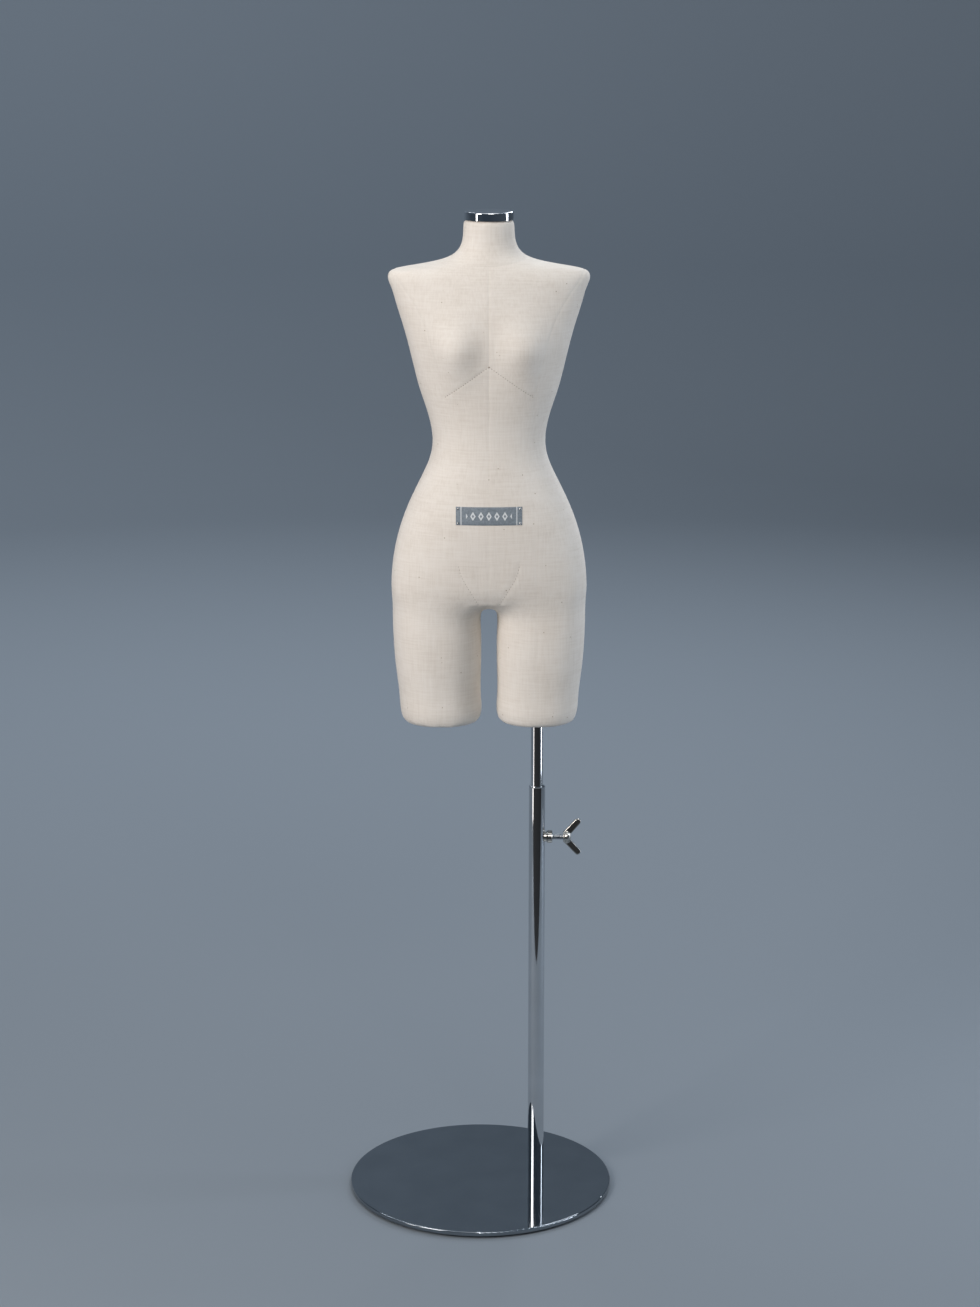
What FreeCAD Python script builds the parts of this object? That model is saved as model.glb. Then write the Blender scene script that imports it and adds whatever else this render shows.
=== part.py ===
import FreeCAD, Part
import math
import os

from FreeCAD import Vector

# Half-scale dress form: a cloth-covered torso with two thigh stubs, carried by a
# telescopic steel pole on a round steel base plate.
# Millimetres, +Z up, the torso faces -Y. Origin: centre of the base on the floor.

# ---- Base ----
BASE_DIAMETER = 260.0
PLATE_THICKNESS = 4.0
PLATE_EDGE_RADIUS = 1.0
PAD_THICKNESS = 2.5
PAD_DIAMETER = 18.0
PAD_COUNT = 6
PAD_RIM_MARGIN = 8.0  # plate's rim to the pad's rim
BASE_SCREW_DIAMETER = 6.0
BASE_SCREW_LENGTH = 26.0
BASE_SCREW_HEAD_DIAMETER = 11.3
BASE_SCREW_HEAD_HEIGHT = 3.0
BASE_SCREW_KEY = 4.0  # across the flats of its hexagon socket
BASE_SCREW_KEY_DEPTH = 1.6
SCREW_CLEARANCE = 0.3  # radial, in the plate's hole

# ---- Pole ----
POLE_X = 55.5
POLE_Y = 14.0
LOWER_TUBE_DIAMETER = 16.0
LOWER_TUBE_WALL = 1.5
SHOWN_UPPER_TUBE = 69.0  # between the lower tube's rim and the thigh, as stored
TUBE_EDGE_CHAMFER = 0.4
TUBE_PLUG_LENGTH = 28.0
UPPER_TUBE_DIAMETER = 12.0
UPPER_TUBE_WALL = 1.0
UPPER_TUBE_BELOW_CLAMP = 220.0  # how far it reaches down past the clamp screw
UPPER_TUBE_IN_TORSO = 158.0  # how far it reaches up past the thigh's end
UPPER_TUBE_PLAY = 0.1  # to the wall that the clamp presses it against
END_PLUG_LENGTH = 14.0
END_PLUG_FLANGE = 2.0
TOP_PLUG_LENGTH = 18.0
GLIDE_HEAD_HEIGHT = 3.0
GLIDE_DOME = 0.6
GLIDE_STEM_DIAMETER = 4.0
GLIDE_STEM_LENGTH = 13.0
TURNING_CLEARANCE = 0.06  # radial, of what turns in a bore
SEAT_GAP = 0.08  # between faces that rest on each other on different bodies

# ---- Height clamp: boss, wing screw and its tip, along +X ----
CLAMP_BELOW_RIM = 52.0  # the clamp's axis under the lower tube's rim
BOSS_DIAMETER = 12.4
BOSS_LENGTH = 7.0
BOSS_NECK_DIAMETER = 10.0
BOSS_NECK_LENGTH = 2.6  # of its length, the slimmer part next to the tube
BOSS_SHOULDER = 1.2
BOSS_EDGE = 0.6
CLAMP_SCREW_DIAMETER = 6.0
CLAMP_SCREW_FREE_LENGTH = 10.6  # boss to hub
TIP_DIAMETER = 4.4
TIP_LENGTH = 2.4
TIP_STEM_DIAMETER = 2.4
TIP_STEM_LENGTH = 4.0
TIP_GAP = 0.15  # tip to the upper tube at rest
HUB_DIAMETER = 11.4
HUB_LENGTH = 7.6
HUB_RING_GROOVE = 0.7
HUB_EDGE = 0.5
WING_ROOT_SINK = 2.0  # how far inside the hub an ear is rooted
SCREW_IN_HUB = 2.0  # the hub's closed end, past the screw
WING_SPAN = 37.0
WING_REACH = 17.4  # hub's inner face to the wing tips, along X
WING_THICKNESS = 3.0
WING_TIP_RADIUS = 3.1
WING_ROOT_RADIUS = 3.4

# ---- Torso: place and layers ----
TORSO_X = 8.5
TORSO_Y = 14.0
HEM_HEIGHT = 481.0
CROTCH_HEIGHT = 117.0  # above the hem, as all heights of the torso
SHOULDER_START = 404.0  # where the chest begins to turn in to the shoulders
NECK_HEIGHT = 481.0
NECK_RADIUS = 23.2
COVER_THICKNESS = 1.0
PADDING_THICKNESS = 4.0
SHELL_THICKNESS = 2.5
LEG_SETBACK = 0.4  # thigh's skin behind the hip's skin where they join
LEG_JOIN = 0.5  # least depth that the cavity's thigh reaches into its hip
LEG_OVERLAP = COVER_THICKNESS + PADDING_THICKNESS + SHELL_THICKNESS + LEG_JOIN

# Height, half width, depth in front, depth behind, squareness, bust bulge.
TORSO_STATIONS = [
    (CROTCH_HEIGHT, 93.4, 46.0, 57.0, 3.0, 0.0),
    (144.0, 93.1, 48.5, 62.0, 2.75, 0.0),
    (174.0, 88.9, 50.0, 61.5, 2.5, 0.0),
    (199.0, 81.7, 50.0, 57.0, 2.35, 0.0),
    (219.0, 73.4, 48.0, 51.5, 2.3, 0.0),
    (239.0, 63.6, 45.0, 46.0, 2.25, 0.0),
    (259.0, 55.4, 42.0, 41.0, 2.2, 0.0),
    (276.0, 53.5, 40.5, 38.0, 2.2, 0.0),
    (304.0, 59.2, 41.5, 38.5, 2.25, 0.0),
    (325.0, 66.0, 43.0, 40.5, 2.3, 2.0),
    (345.0, 71.0, 44.5, 43.0, 2.3, 7.0),
    (364.0, 75.5, 46.0, 45.0, 2.3, 10.5),
    (384.0, 81.0, 45.0, 46.5, 2.2, 5.5),
    (SHOULDER_START, 87.3, 41.5, 46.0, 2.1, 1.0),
    (420.0, 92.4, 37.5, 43.0, 2.0, 0.0),
    (429.0, 94.9, 34.5, 40.0, 1.9, 0.0),
    (433.5, 92.0, 32.5, 37.5, 1.85, 0.0),
    (437.0, 79.0, 31.0, 35.5, 1.9, 0.0),
    (440.5, 58.0, 29.5, 33.5, 1.95, 0.0),
    (445.0, 40.5, 28.0, 31.5, 2.0, 0.0),
    (450.0, 31.5, 26.3, 29.0, 2.0, 0.0),
    (457.0, 26.4, 24.5, 26.4, 2.0, 0.0),
    (467.0, 24.2, 23.6, 24.4, 2.0, 0.0),
    (NECK_HEIGHT, NECK_RADIUS, NECK_RADIUS, NECK_RADIUS, 2.0, 0.0),
]
BUST_X = 33.0  # bust point from the centre line
BUST_WIDTH = 17.0

# Height above the hem, inner and outer edge from the centre line, front, back.
LEG_STATIONS = [
    (0.0, 12.0, 80.0, 35.5, 37.5),
    (1.6, 9.4, 82.8, 38.2, 40.2),
    (5.0, 8.0, 84.4, 39.7, 41.7),
    (22.0, 7.8, 86.4, 40.4, 43.0),
    (54.0, 7.7, 89.9, 41.4, 45.0),
    (92.0, 7.8, 92.2, 41.5, 47.5),
    (CROTCH_HEIGHT, 8.2, 93.0, 41.0, 50.0),
    (CROTCH_HEIGHT + LEG_OVERLAP, 8.2, 93.0, 41.0, 50.0),
]
LEG_SQUARENESS = 2.25
POINTS_PER_SECTION = 24
LAYER_STEP = 1.5  # least height between two sections of a layer
STEEPEST_SETBACK = 0.3  # least share of a layer's inset that narrows a section

# ---- Torso: boards, socket, neck ----
BOARD_THICKNESS = 6.0
BULKHEAD_HEIGHT = 130.0  # above the hem
BULKHEAD_THICKNESS = 6.0
SOCKET_WALL = 1.3
SOCKET_CLEARANCE = 0.2  # radial, round the upper tube
SOCKET_CAP_THICKNESS = 3.0
COVER_HOLE_CLEARANCE = 0.9  # radial, round the upper tube
FLANGE_DIAMETER = 38.0
FLANGE_THICKNESS = 2.0
FLANGE_SCREW_COUNT = 4
FLANGE_SCREW_PCD = 27.0
FLANGE_SCREW_DIAMETER = 3.5
FLANGE_SCREW_DEPTH = 5.0
FLANGE_SCREW_HEAD_DIAMETER = 6.4
FLANGE_SCREW_HEAD_HEIGHT = 2.2
NECK_BLOCK_DEPTH = 34.0
NECK_BLOCK_PLAY = 0.2  # radial, of its spigot in the shell
CAP_DIAMETER = 46.2
CAP_HEIGHT = 7.5
CAP_WALL = 1.0
CAP_EDGE_RADIUS = 1.0
CAP_STUD_DIAMETER = 6.0
CAP_STUD_LENGTH = 22.0

# ---- Cover seams, label and pins ----
NECK_SEAM_HEIGHT = 440.0  # at the centre front and back, above the hem
NECK_SEAM_RADIUS = 38.0  # on the shoulders
UNDERBUST_HEIGHT = 349.0  # at the centre front
UNDERBUST_DROP = 31.0  # from the centre front down to the side-front seam
UNDERBUST_HALF = 43.0  # from the centre front across to the side-front seam
# The side-front seam: height above the hem, distance from the centre line.
SIDE_SEAM = [
    (-10.0, 46.0),
    (130.0, 46.0),
    (199.0, 42.5),
    (270.0, 42.0),
    (318.0, UNDERBUST_HALF),
    (336.0, 45.0),
    (362.0, 53.0),
    (381.0, 58.0),
    (395.0, 64.0),
    (409.0, 72.0),
    (434.0, 91.0),
    (500.0, 98.0),
]
LABEL_WIDTH = 62.0
LABEL_HEIGHT = 17.0
LABEL_THICKNESS = 0.8
LABEL_CENTRE_HEIGHT = 209.0
LABEL_PIN_INSET = 1.8
PIN_HEAD_DIAMETER = 2.0
PIN_SHAFT_DIAMETER = 0.6
PIN_IN_FOAM = 2.8

# ---- Places worked out from the sizes ----
PLATE_TOP = PAD_THICKNESS + PLATE_THICKNESS
LOWER_TUBE_TOP = HEM_HEIGHT - SHOWN_UPPER_TUBE
CLAMP_HEIGHT = LOWER_TUBE_TOP - CLAMP_BELOW_RIM
LOWER_TUBE_BORE = LOWER_TUBE_DIAMETER - 2 * LOWER_TUBE_WALL
UPPER_TUBE_BORE = UPPER_TUBE_DIAMETER - 2 * UPPER_TUBE_WALL
CLAMP_SHIFT = (LOWER_TUBE_BORE - UPPER_TUBE_DIAMETER) / 2 - UPPER_TUBE_PLAY
UPPER_X = POLE_X - CLAMP_SHIFT
UPPER_TUBE_BOTTOM = CLAMP_HEIGHT - UPPER_TUBE_BELOW_CLAMP
UPPER_TUBE_TOP = HEM_HEIGHT + UPPER_TUBE_IN_TORSO
GLIDE_TOP = UPPER_TUBE_TOP + SEAT_GAP + GLIDE_HEAD_HEIGHT
NECK_TOP = HEM_HEIGHT + NECK_HEIGHT
BOARD_TOP = HEM_HEIGHT + COVER_THICKNESS + BOARD_THICKNESS
PADDING_INSET = COVER_THICKNESS
SHELL_INSET = COVER_THICKNESS + PADDING_THICKNESS
CAVITY_INSET = SHELL_INSET + SHELL_THICKNESS
SOCKET_BORE_RADIUS = UPPER_TUBE_DIAMETER / 2 + SOCKET_CLEARANCE
SOCKET_RADIUS = SOCKET_BORE_RADIUS + SOCKET_WALL
SOCKET_TOP = GLIDE_TOP + SEAT_GAP
BOSS_FACE = POLE_X + LOWER_TUBE_DIAMETER / 2 + BOSS_LENGTH
HUB_FACE = BOSS_FACE + CLAMP_SCREW_FREE_LENGTH
PIN_LENGTH = LABEL_THICKNESS + COVER_THICKNESS + PIN_IN_FOAM
TIP_FACE = UPPER_X + UPPER_TUBE_DIAMETER / 2 + TIP_GAP
FAR = 400.0  # longer than any cut needs

UP = Vector(0, 0, 1)
ALONG_X = Vector(1, 0, 0)
POLE = Vector(POLE_X, POLE_Y, 0)
UPPER = Vector(UPPER_X, POLE_Y, 0)


def save(shape, node):
    """Writes one sub-part to its own STEP file."""
    shape.exportStep(os.path.join("parts", node + ".step"))


def rod(radius, low, high, centre):
    """A vertical cylinder between two heights."""
    return Part.makeCylinder(radius, high - low, Vector(centre.x, centre.y, low), UP)


def pipe(outer, inner, low, high, centre):
    return rod(outer, low, high, centre).cut(rod(inner, low - 1, high + 1, centre))


def crossbar(radius, start, end, height=CLAMP_HEIGHT):
    """A cylinder along X through the clamp's axis."""
    return Part.makeCylinder(radius, end - start, Vector(start, POLE_Y, height), ALONG_X)


def slab(low, high):
    """Everything between two heights."""
    return Part.makeBox(2 * FAR, 2 * FAR, high - low, Vector(-FAR, -FAR, low))


def round_edges(shape, low):
    """The circular edges of a turned shape above a height."""
    return [e for e in shape.Edges if len(e.Vertexes) == 1 and e.BoundBox.ZMin > low]


def spun(points, centre, axis):
    """A solid turned from an outline of (radius, place along the axis) points."""
    side = Vector(0, 1, 0) if axis == ALONG_X else Vector(1, 0, 0)
    corners = [centre + side * r + axis * s for r, s in points]
    face = Part.Face(Part.makePolygon(corners + corners[:1]))
    return face.revolve(centre, axis, 360)


# ---------------------------------------------------------------- base
def base_plate():
    plate = rod(BASE_DIAMETER / 2, PAD_THICKNESS, PLATE_TOP, Vector())
    rim = round_edges(plate, PAD_THICKNESS + PLATE_THICKNESS / 2)
    plate = plate.makeFillet(min(PLATE_EDGE_RADIUS, PLATE_THICKNESS / 3), rim)
    hole = rod(BASE_SCREW_DIAMETER / 2 + SCREW_CLEARANCE, 0, PLATE_TOP + 1, POLE)
    return plate.cut(hole).cut(screw_head(SCREW_CLEARANCE))


def screw_head(extra):
    """The countersunk head, or with extra its seat in the plate."""
    head = BASE_SCREW_HEAD_DIAMETER / 2 + extra
    shank = BASE_SCREW_DIAMETER / 2 + extra
    foot = Vector(POLE_X, POLE_Y, PAD_THICKNESS)
    return Part.makeCone(head, shank, BASE_SCREW_HEAD_HEIGHT + extra, foot, UP)


def base_screw():
    shank_top = PAD_THICKNESS + BASE_SCREW_LENGTH
    shank = rod(BASE_SCREW_DIAMETER / 2, PAD_THICKNESS, shank_top, POLE)
    corner = BASE_SCREW_KEY / 2 / math.cos(math.pi / 6)
    turns = [i * math.pi / 3 for i in range(7)]
    key = [Vector(corner * math.cos(t), corner * math.sin(t), PAD_THICKNESS) + POLE for t in turns]
    socket = Part.Face(Part.makePolygon(key)).extrude(UP * BASE_SCREW_KEY_DEPTH)
    return shank.fuse(screw_head(0)).removeSplitter().cut(socket)


def base_pads():
    ring = BASE_DIAMETER / 2 - PAD_RIM_MARGIN - PAD_DIAMETER / 2
    turns = [(i + 0.5) * 2 * math.pi / PAD_COUNT for i in range(PAD_COUNT)]
    places = [Vector(ring * math.cos(t), ring * math.sin(t), 0) for t in turns]
    return Part.makeCompound([rod(PAD_DIAMETER / 2, 0, PAD_THICKNESS, p) for p in places])


# ---------------------------------------------------------------- pole
def lower_tube():
    tube = pipe(LOWER_TUBE_DIAMETER / 2, LOWER_TUBE_BORE / 2, PLATE_TOP, LOWER_TUBE_TOP, POLE)
    tube = tube.makeChamfer(TUBE_EDGE_CHAMFER, round_edges(tube, LOWER_TUBE_TOP - 1))
    return tube.cut(crossbar(CLAMP_SCREW_DIAMETER / 2 + SCREW_CLEARANCE, POLE_X, BOSS_FACE))


def lower_tube_plug():
    """Steel slug in the tube's foot, tapped for the base screw."""
    plug_top = PLATE_TOP + TUBE_PLUG_LENGTH
    return pipe(LOWER_TUBE_BORE / 2, BASE_SCREW_DIAMETER / 2, PLATE_TOP, plug_top, POLE)


def upper_tube():
    outer = UPPER_TUBE_DIAMETER / 2
    bar = rod(outer, UPPER_TUBE_BOTTOM, UPPER_TUBE_TOP, UPPER)
    bar = bar.makeChamfer(TUBE_EDGE_CHAMFER, round_edges(bar, 0))
    return bar.cut(rod(UPPER_TUBE_BORE / 2, UPPER_TUBE_BOTTOM - 1, UPPER_TUBE_TOP + 1, UPPER))


def upper_tube_end_plug():
    """Plastic plug in the lower end, with a thin flange under the tube."""
    plug_top = UPPER_TUBE_BOTTOM + END_PLUG_LENGTH
    flange_bottom = UPPER_TUBE_BOTTOM - END_PLUG_FLANGE
    insert = rod(UPPER_TUBE_BORE / 2, flange_bottom, plug_top, UPPER)
    flange = rod(UPPER_TUBE_DIAMETER / 2 - TUBE_EDGE_CHAMFER, flange_bottom, UPPER_TUBE_BOTTOM, UPPER)
    return insert.fuse(flange).removeSplitter()


def upper_tube_top_plug():
    """Steel plug in the upper end, bored for the glide's stem."""
    low = UPPER_TUBE_TOP - TOP_PLUG_LENGTH
    bore = GLIDE_STEM_DIAMETER / 2 + TURNING_CLEARANCE
    return pipe(UPPER_TUBE_BORE / 2, bore, low, UPPER_TUBE_TOP, UPPER)


def swivel_glide():
    """Nylon mushroom on which the torso rests and turns."""
    head = UPPER_TUBE_DIAMETER / 2 - TUBE_EDGE_CHAMFER
    stem = GLIDE_STEM_DIAMETER / 2
    under = UPPER_TUBE_TOP + SEAT_GAP
    outline = [
        (0, under - GLIDE_STEM_LENGTH),
        (stem, under - GLIDE_STEM_LENGTH),
        (stem, under),
        (head, under),
        (head, GLIDE_TOP - GLIDE_DOME),
        (head - GLIDE_DOME, GLIDE_TOP),
        (0, GLIDE_TOP),
    ]
    return spun(outline, UPPER, UP)


# ---------------------------------------------------------------- height clamp
def clamp_boss():
    """Threaded boss brazed to the lower tube, its foot shaped to the tube."""
    neck = BOSS_NECK_DIAMETER / 2
    full = BOSS_DIAMETER / 2
    neck_end = BOSS_FACE - BOSS_LENGTH + BOSS_NECK_LENGTH
    outline = [
        (0, POLE_X),
        (neck, POLE_X),
        (neck, neck_end - BOSS_SHOULDER),
        (full, neck_end),
        (full, BOSS_FACE - BOSS_EDGE),
        (full - BOSS_EDGE, BOSS_FACE),
        (0, BOSS_FACE),
    ]
    body = spun(outline, Vector(0, POLE_Y, CLAMP_HEIGHT), ALONG_X)
    thread = CLAMP_SCREW_DIAMETER / 2 + TURNING_CLEARANCE
    body = body.cut(crossbar(thread, POLE_X - 1, BOSS_FACE + 1))
    return body.cut(rod(LOWER_TUBE_DIAMETER / 2, 0, LOWER_TUBE_TOP, POLE))


def clamp_tip():
    """Nylon pressure tip. Its stem sits in the screw's end, so that the screw turns on it."""
    nose = crossbar(TIP_DIAMETER / 2, TIP_FACE, TIP_FACE + TIP_LENGTH)
    stem_end = TIP_FACE + TIP_LENGTH + TIP_STEM_LENGTH
    return nose.fuse(crossbar(TIP_STEM_DIAMETER / 2, TIP_FACE, stem_end)).removeSplitter()


def clamp_screw():
    start = TIP_FACE + TIP_LENGTH + SEAT_GAP
    bore_end = start + TIP_STEM_LENGTH + 1
    stud = crossbar(CLAMP_SCREW_DIAMETER / 2, start, HUB_FACE + HUB_LENGTH - SCREW_IN_HUB)
    return stud.cut(crossbar(TIP_STEM_DIAMETER / 2 + TURNING_CLEARANCE, start - 1, bore_end))


def wing_head():
    """Cast hub with two ears, pressed on the screw."""
    hub = HUB_DIAMETER / 2
    groove = hub - HUB_RING_GROOVE
    outline = [
        (0, 0),
        (hub - HUB_EDGE, 0),
        (hub, HUB_EDGE),
        (hub, 0.21 * HUB_LENGTH),
        (groove, 0.26 * HUB_LENGTH),
        (groove, 0.33 * HUB_LENGTH),
        (hub, 0.38 * HUB_LENGTH),
        (hub, 0.58 * HUB_LENGTH),
        (0.75 * hub, 0.87 * HUB_LENGTH),
        (0.44 * hub, HUB_LENGTH),
        (0, HUB_LENGTH),
    ]
    centre = Vector(0, POLE_Y, CLAMP_HEIGHT)
    head = spun([(r, HUB_FACE + s) for r, s in outline], centre, ALONG_X)
    head = head.fuse([wing(1), wing(-1)]).removeSplitter()
    return head.cut(crossbar(CLAMP_SCREW_DIAMETER / 2, HUB_FACE - 1, HUB_FACE + HUB_LENGTH - SCREW_IN_HUB))


def wing(side):
    """One ear: a flat plate between a root circle and a tip circle, in the XZ plane."""
    root = Vector(HUB_FACE + WING_ROOT_RADIUS + HUB_EDGE, 0, HUB_DIAMETER / 2 - WING_ROOT_SINK)
    tip_x = HUB_FACE + WING_REACH - WING_TIP_RADIUS
    tip = Vector(tip_x, 0, WING_SPAN / 2 - WING_TIP_RADIUS)
    run = tip - root
    lean = math.acos((WING_ROOT_RADIUS - WING_TIP_RADIUS) / run.Length)
    heading = math.atan2(run.z, run.x)
    corners = []
    for circle, radius, turn in (
        (root, WING_ROOT_RADIUS, heading + lean),
        (tip, WING_TIP_RADIUS, heading + lean),
        (tip, WING_TIP_RADIUS, heading),
        (tip, WING_TIP_RADIUS, heading - lean),
        (root, WING_ROOT_RADIUS, heading - lean),
        (root, WING_ROOT_RADIUS, heading + math.pi),
    ):
        corners.append(circle + Vector(math.cos(turn), 0, math.sin(turn)) * radius)
    place = Vector(0, POLE_Y - WING_THICKNESS / 2, CLAMP_HEIGHT)
    corners = [place + Vector(c.x, 0, side * c.z) for c in corners]
    edges = [
        Part.makeLine(corners[0], corners[1]),
        Part.Arc(corners[1], corners[2], corners[3]).toShape(),
        Part.makeLine(corners[3], corners[4]),
        Part.Arc(corners[4], corners[5], corners[0]).toShape(),
    ]
    return Part.Face(Part.Wire(edges)).extrude(Vector(0, WING_THICKNESS, 0))


# ---------------------------------------------------------------- torso shape
def power(value, exponent):
    return math.copysign(abs(value) ** exponent, value)


def section(centre_x, half, front, back, squareness, bulge, height):
    """Points round a closed section at one height, wider in front where there is a bust."""
    points = []
    for i in range(POINTS_PER_SECTION):
        turn = 2 * math.pi * i / POINTS_PER_SECTION
        x = half * power(math.cos(turn), 2 / squareness)
        y = power(math.sin(turn), 2 / squareness)
        depth = back
        if y < 0:
            offset = (abs(x) - BUST_X) / BUST_WIDTH
            depth = front + bulge * math.exp(-offset * offset) / max(0.35, -y)
        points.append(Vector(TORSO_X + centre_x + x, TORSO_Y + y * depth, height))
    return points


def through(points, marks, closed):
    """A cubic curve through points at given marks along it."""
    curve = Part.BSplineCurve()
    curve.interpolate(Points=points, PeriodicFlag=closed, Parameters=marks)
    return curve


def skinned(sections):
    """A solid with one smooth skin through its sections and flat ends."""
    count = len(sections[0])
    round_marks = [i / count for i in range(count + 1)]
    rings = [through(points, round_marks, True) for points in sections]
    marks = [0.0]
    for lower, upper in zip(sections, sections[1:]):
        steps = [(b - a).Length for a, b in zip(lower, upper)]
        marks.append(marks[-1] + sum(steps) / count)
    columns = [through(list(poles), marks, False) for poles in zip(*[r.getPoles() for r in rings])]
    skin = Part.BSplineSurface()
    skin.buildFromPolesMultsKnots(
        [column.getPoles() for column in columns],
        rings[0].getMultiplicities(),
        columns[0].getMultiplicities(),
        rings[0].getKnots(),
        columns[0].getKnots(),
        True,
        False,
        rings[0].Degree,
        columns[0].Degree,
    )
    side = skin.toShape()
    ends = [e for e in side.Edges if e.BoundBox.ZLength < 1e-3]
    caps = [Part.Face(Part.Wire(e)) for e in ends]
    shell = Part.makeShell([side] + caps)
    shell.sewShape()
    solid = Part.Solid(shell)
    if solid.Volume < 0:
        solid.reverse()
    return solid


def outward(stations, i):
    """The outline's outward direction at a station, as (sideways, up)."""
    below = stations[max(i - 1, 0)]
    above = stations[min(i + 1, len(stations) - 1)]
    rise = above[0] - below[0]
    widening = above[1] - below[1]
    length = math.hypot(rise, widening)
    return rise / length, -widening / length


def trunk(inset):
    """Hips, waist, chest, shoulders and neck, set back from the outside by inset."""
    sections = []
    last = len(TORSO_STATIONS) - 1
    reached = -FAR
    for i, (height, half, front, back, squareness, bulge) in enumerate(TORSO_STATIONS):
        sideways, up = outward(TORSO_STATIONS, i)
        lowered = height - inset * up
        if i == 0:
            lowered = height + inset
        if i == last:
            lowered = height
        if lowered - reached < LAYER_STEP:
            continue
        reached = lowered
        half -= inset * max(sideways, STEEPEST_SETBACK)
        depths = (front - inset, back - inset)
        sections.append(section(0, half, *depths, squareness, bulge, HEM_HEIGHT + lowered))
    return skinned(sections)


def thigh(side, inset):
    """One thigh from its hem up into the hips, set back from the outside by inset."""
    sections = []
    for height, inner, outer, front, back in LEG_STATIONS:
        half = (outer - inner) / 2 - inset
        if height >= CROTCH_HEIGHT:
            half -= LEG_SETBACK
        if height < CROTCH_HEIGHT / 2:
            height += inset
        centre = side * (inner + outer) / 2
        depths = (front - inset, back - inset)
        sections.append(section(centre, half, *depths, LEG_SQUARENESS, 0, HEM_HEIGHT + height))
    return skinned(sections)


def opened_below(cavity):
    """The cavity carried straight down through both thigh ends."""
    ends = [f for f in cavity.Faces if f.BoundBox.ZMax < HEM_HEIGHT + CAVITY_INSET + 1]
    return cavity.fuse([f.extrude(UP * -CAVITY_INSET) for f in ends])


def body(inset):
    """The whole torso with both thighs, set back from the outside by inset."""
    return trunk(inset).fuse([thigh(-1, inset), thigh(1, inset)])


# ---------------------------------------------------------------- torso layers
def halves(shape, cutter):
    """A shape cut in two: what lies inside the cutter, and the rest."""
    return shape.common(cutter), shape.cut(cutter)


def front_half():
    return Part.makeBox(2 * FAR, FAR, 4 * FAR, Vector(-FAR, TORSO_Y - FAR, 0))


def right_half():
    """Everything on the side of +X of the centre line."""
    return Part.makeBox(FAR, 2 * FAR, 4 * FAR, Vector(TORSO_X, -FAR, 0))


def seam_prism():
    """The block between the two side-front seams, through the torso along Y."""
    right = [Vector(TORSO_X + x, -FAR, HEM_HEIGHT + h) for h, x in SIDE_SEAM]
    left = [Vector(TORSO_X - x, -FAR, HEM_HEIGHT + h) for h, x in reversed(SIDE_SEAM)]
    outline = right + left
    return Part.Face(Part.makePolygon(outline + outline[:1])).extrude(Vector(0, 2 * FAR, 0))


def above_underbust():
    """Everything above the underbust seam, which drops to both sides of the centre front."""
    top = HEM_HEIGHT + UNDERBUST_HEIGHT
    low = top - UNDERBUST_DROP * FAR / UNDERBUST_HALF
    outline = [
        Vector(TORSO_X, -FAR, top),
        Vector(TORSO_X + FAR, -FAR, low),
        Vector(TORSO_X + FAR, -FAR, top + 2 * FAR),
        Vector(TORSO_X - FAR, -FAR, top + 2 * FAR),
        Vector(TORSO_X - FAR, -FAR, low),
    ]
    return Part.Face(Part.makePolygon(outline + outline[:1])).extrude(Vector(0, 2 * FAR, 0))


def make_cover(outside, under_cover):
    """Cotton cover, cut into the panels that it is sewn from."""
    cover = outside.cut(under_cover)
    centre = Vector(TORSO_X, TORSO_Y, 0)
    neck_seam = rod(NECK_SEAM_RADIUS, HEM_HEIGHT + NECK_SEAM_HEIGHT, NECK_TOP + 1, centre)
    neck, cover = halves(cover, neck_seam)
    save(neck, "cover_neck")
    ends, cover = halves(cover, slab(HEM_HEIGHT - 1, HEM_HEIGHT + COVER_THICKNESS))
    right_end, left_end = halves(ends, right_half())
    hole = UPPER_TUBE_DIAMETER / 2 + COVER_HOLE_CLEARANCE
    save(right_end.cut(rod(hole, HEM_HEIGHT - 1, BOARD_TOP, UPPER)), "cover_thigh_end_right")
    save(left_end, "cover_thigh_end_left")
    middle, sides = halves(cover, seam_prism())
    front, back = halves(middle, front_half())
    upper, lower = halves(front, above_underbust())
    panels = {"side": sides, "back": back, "front_upper": upper, "front_lower": lower}
    for name, panel in panels.items():
        right, left = halves(panel, right_half())
        save(right, f"cover_{name}_right")
        save(left, f"cover_{name}_left")


def make_padding(under_cover, shell_outside, boards):
    """Foam wrapped round the shell: front, back and one piece round each thigh."""
    padding = under_cover.cut(shell_outside).cut(boards)
    thighs, upper = halves(padding, slab(0, HEM_HEIGHT + CROTCH_HEIGHT))
    right, left = halves(thighs, right_half())
    front, back = halves(upper, front_half())
    pieces = {"front": front, "back": back, "thigh_right": right, "thigh_left": left}
    for name, piece in pieces.items():
        save(piece, f"padding_{name}")


def make_shell(shell_outside, cavity):
    """Moulded glass-fibre shell in two halves, hollow, open at the neck and the thigh ends."""
    shell = shell_outside.cut(cavity)
    shell = shell.cut(slab(0, BOARD_TOP))
    front, back = halves(shell, front_half())
    save(front, "shell_front")
    save(back, "shell_back")


# ---------------------------------------------------------------- torso boards and socket
def make_boards(under_cover, cavity):
    """Plywood ovals that close the thighs, and the bulkhead that steadies the socket."""
    boards = under_cover.common(slab(HEM_HEIGHT, BOARD_TOP))
    socket_hole = rod(SOCKET_RADIUS, 0, NECK_TOP, UPPER)
    right, left = halves(boards.cut(socket_hole), right_half())
    screws = Part.makeCompound(flange_screws())
    save(right.cut(screws), "thigh_board_right")
    save(left, "thigh_board_left")
    low = HEM_HEIGHT + BULKHEAD_HEIGHT
    bulkhead = cavity.common(slab(low, low + BULKHEAD_THICKNESS)).cut(socket_hole)
    save(bulkhead, "socket_bulkhead")
    return boards


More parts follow.
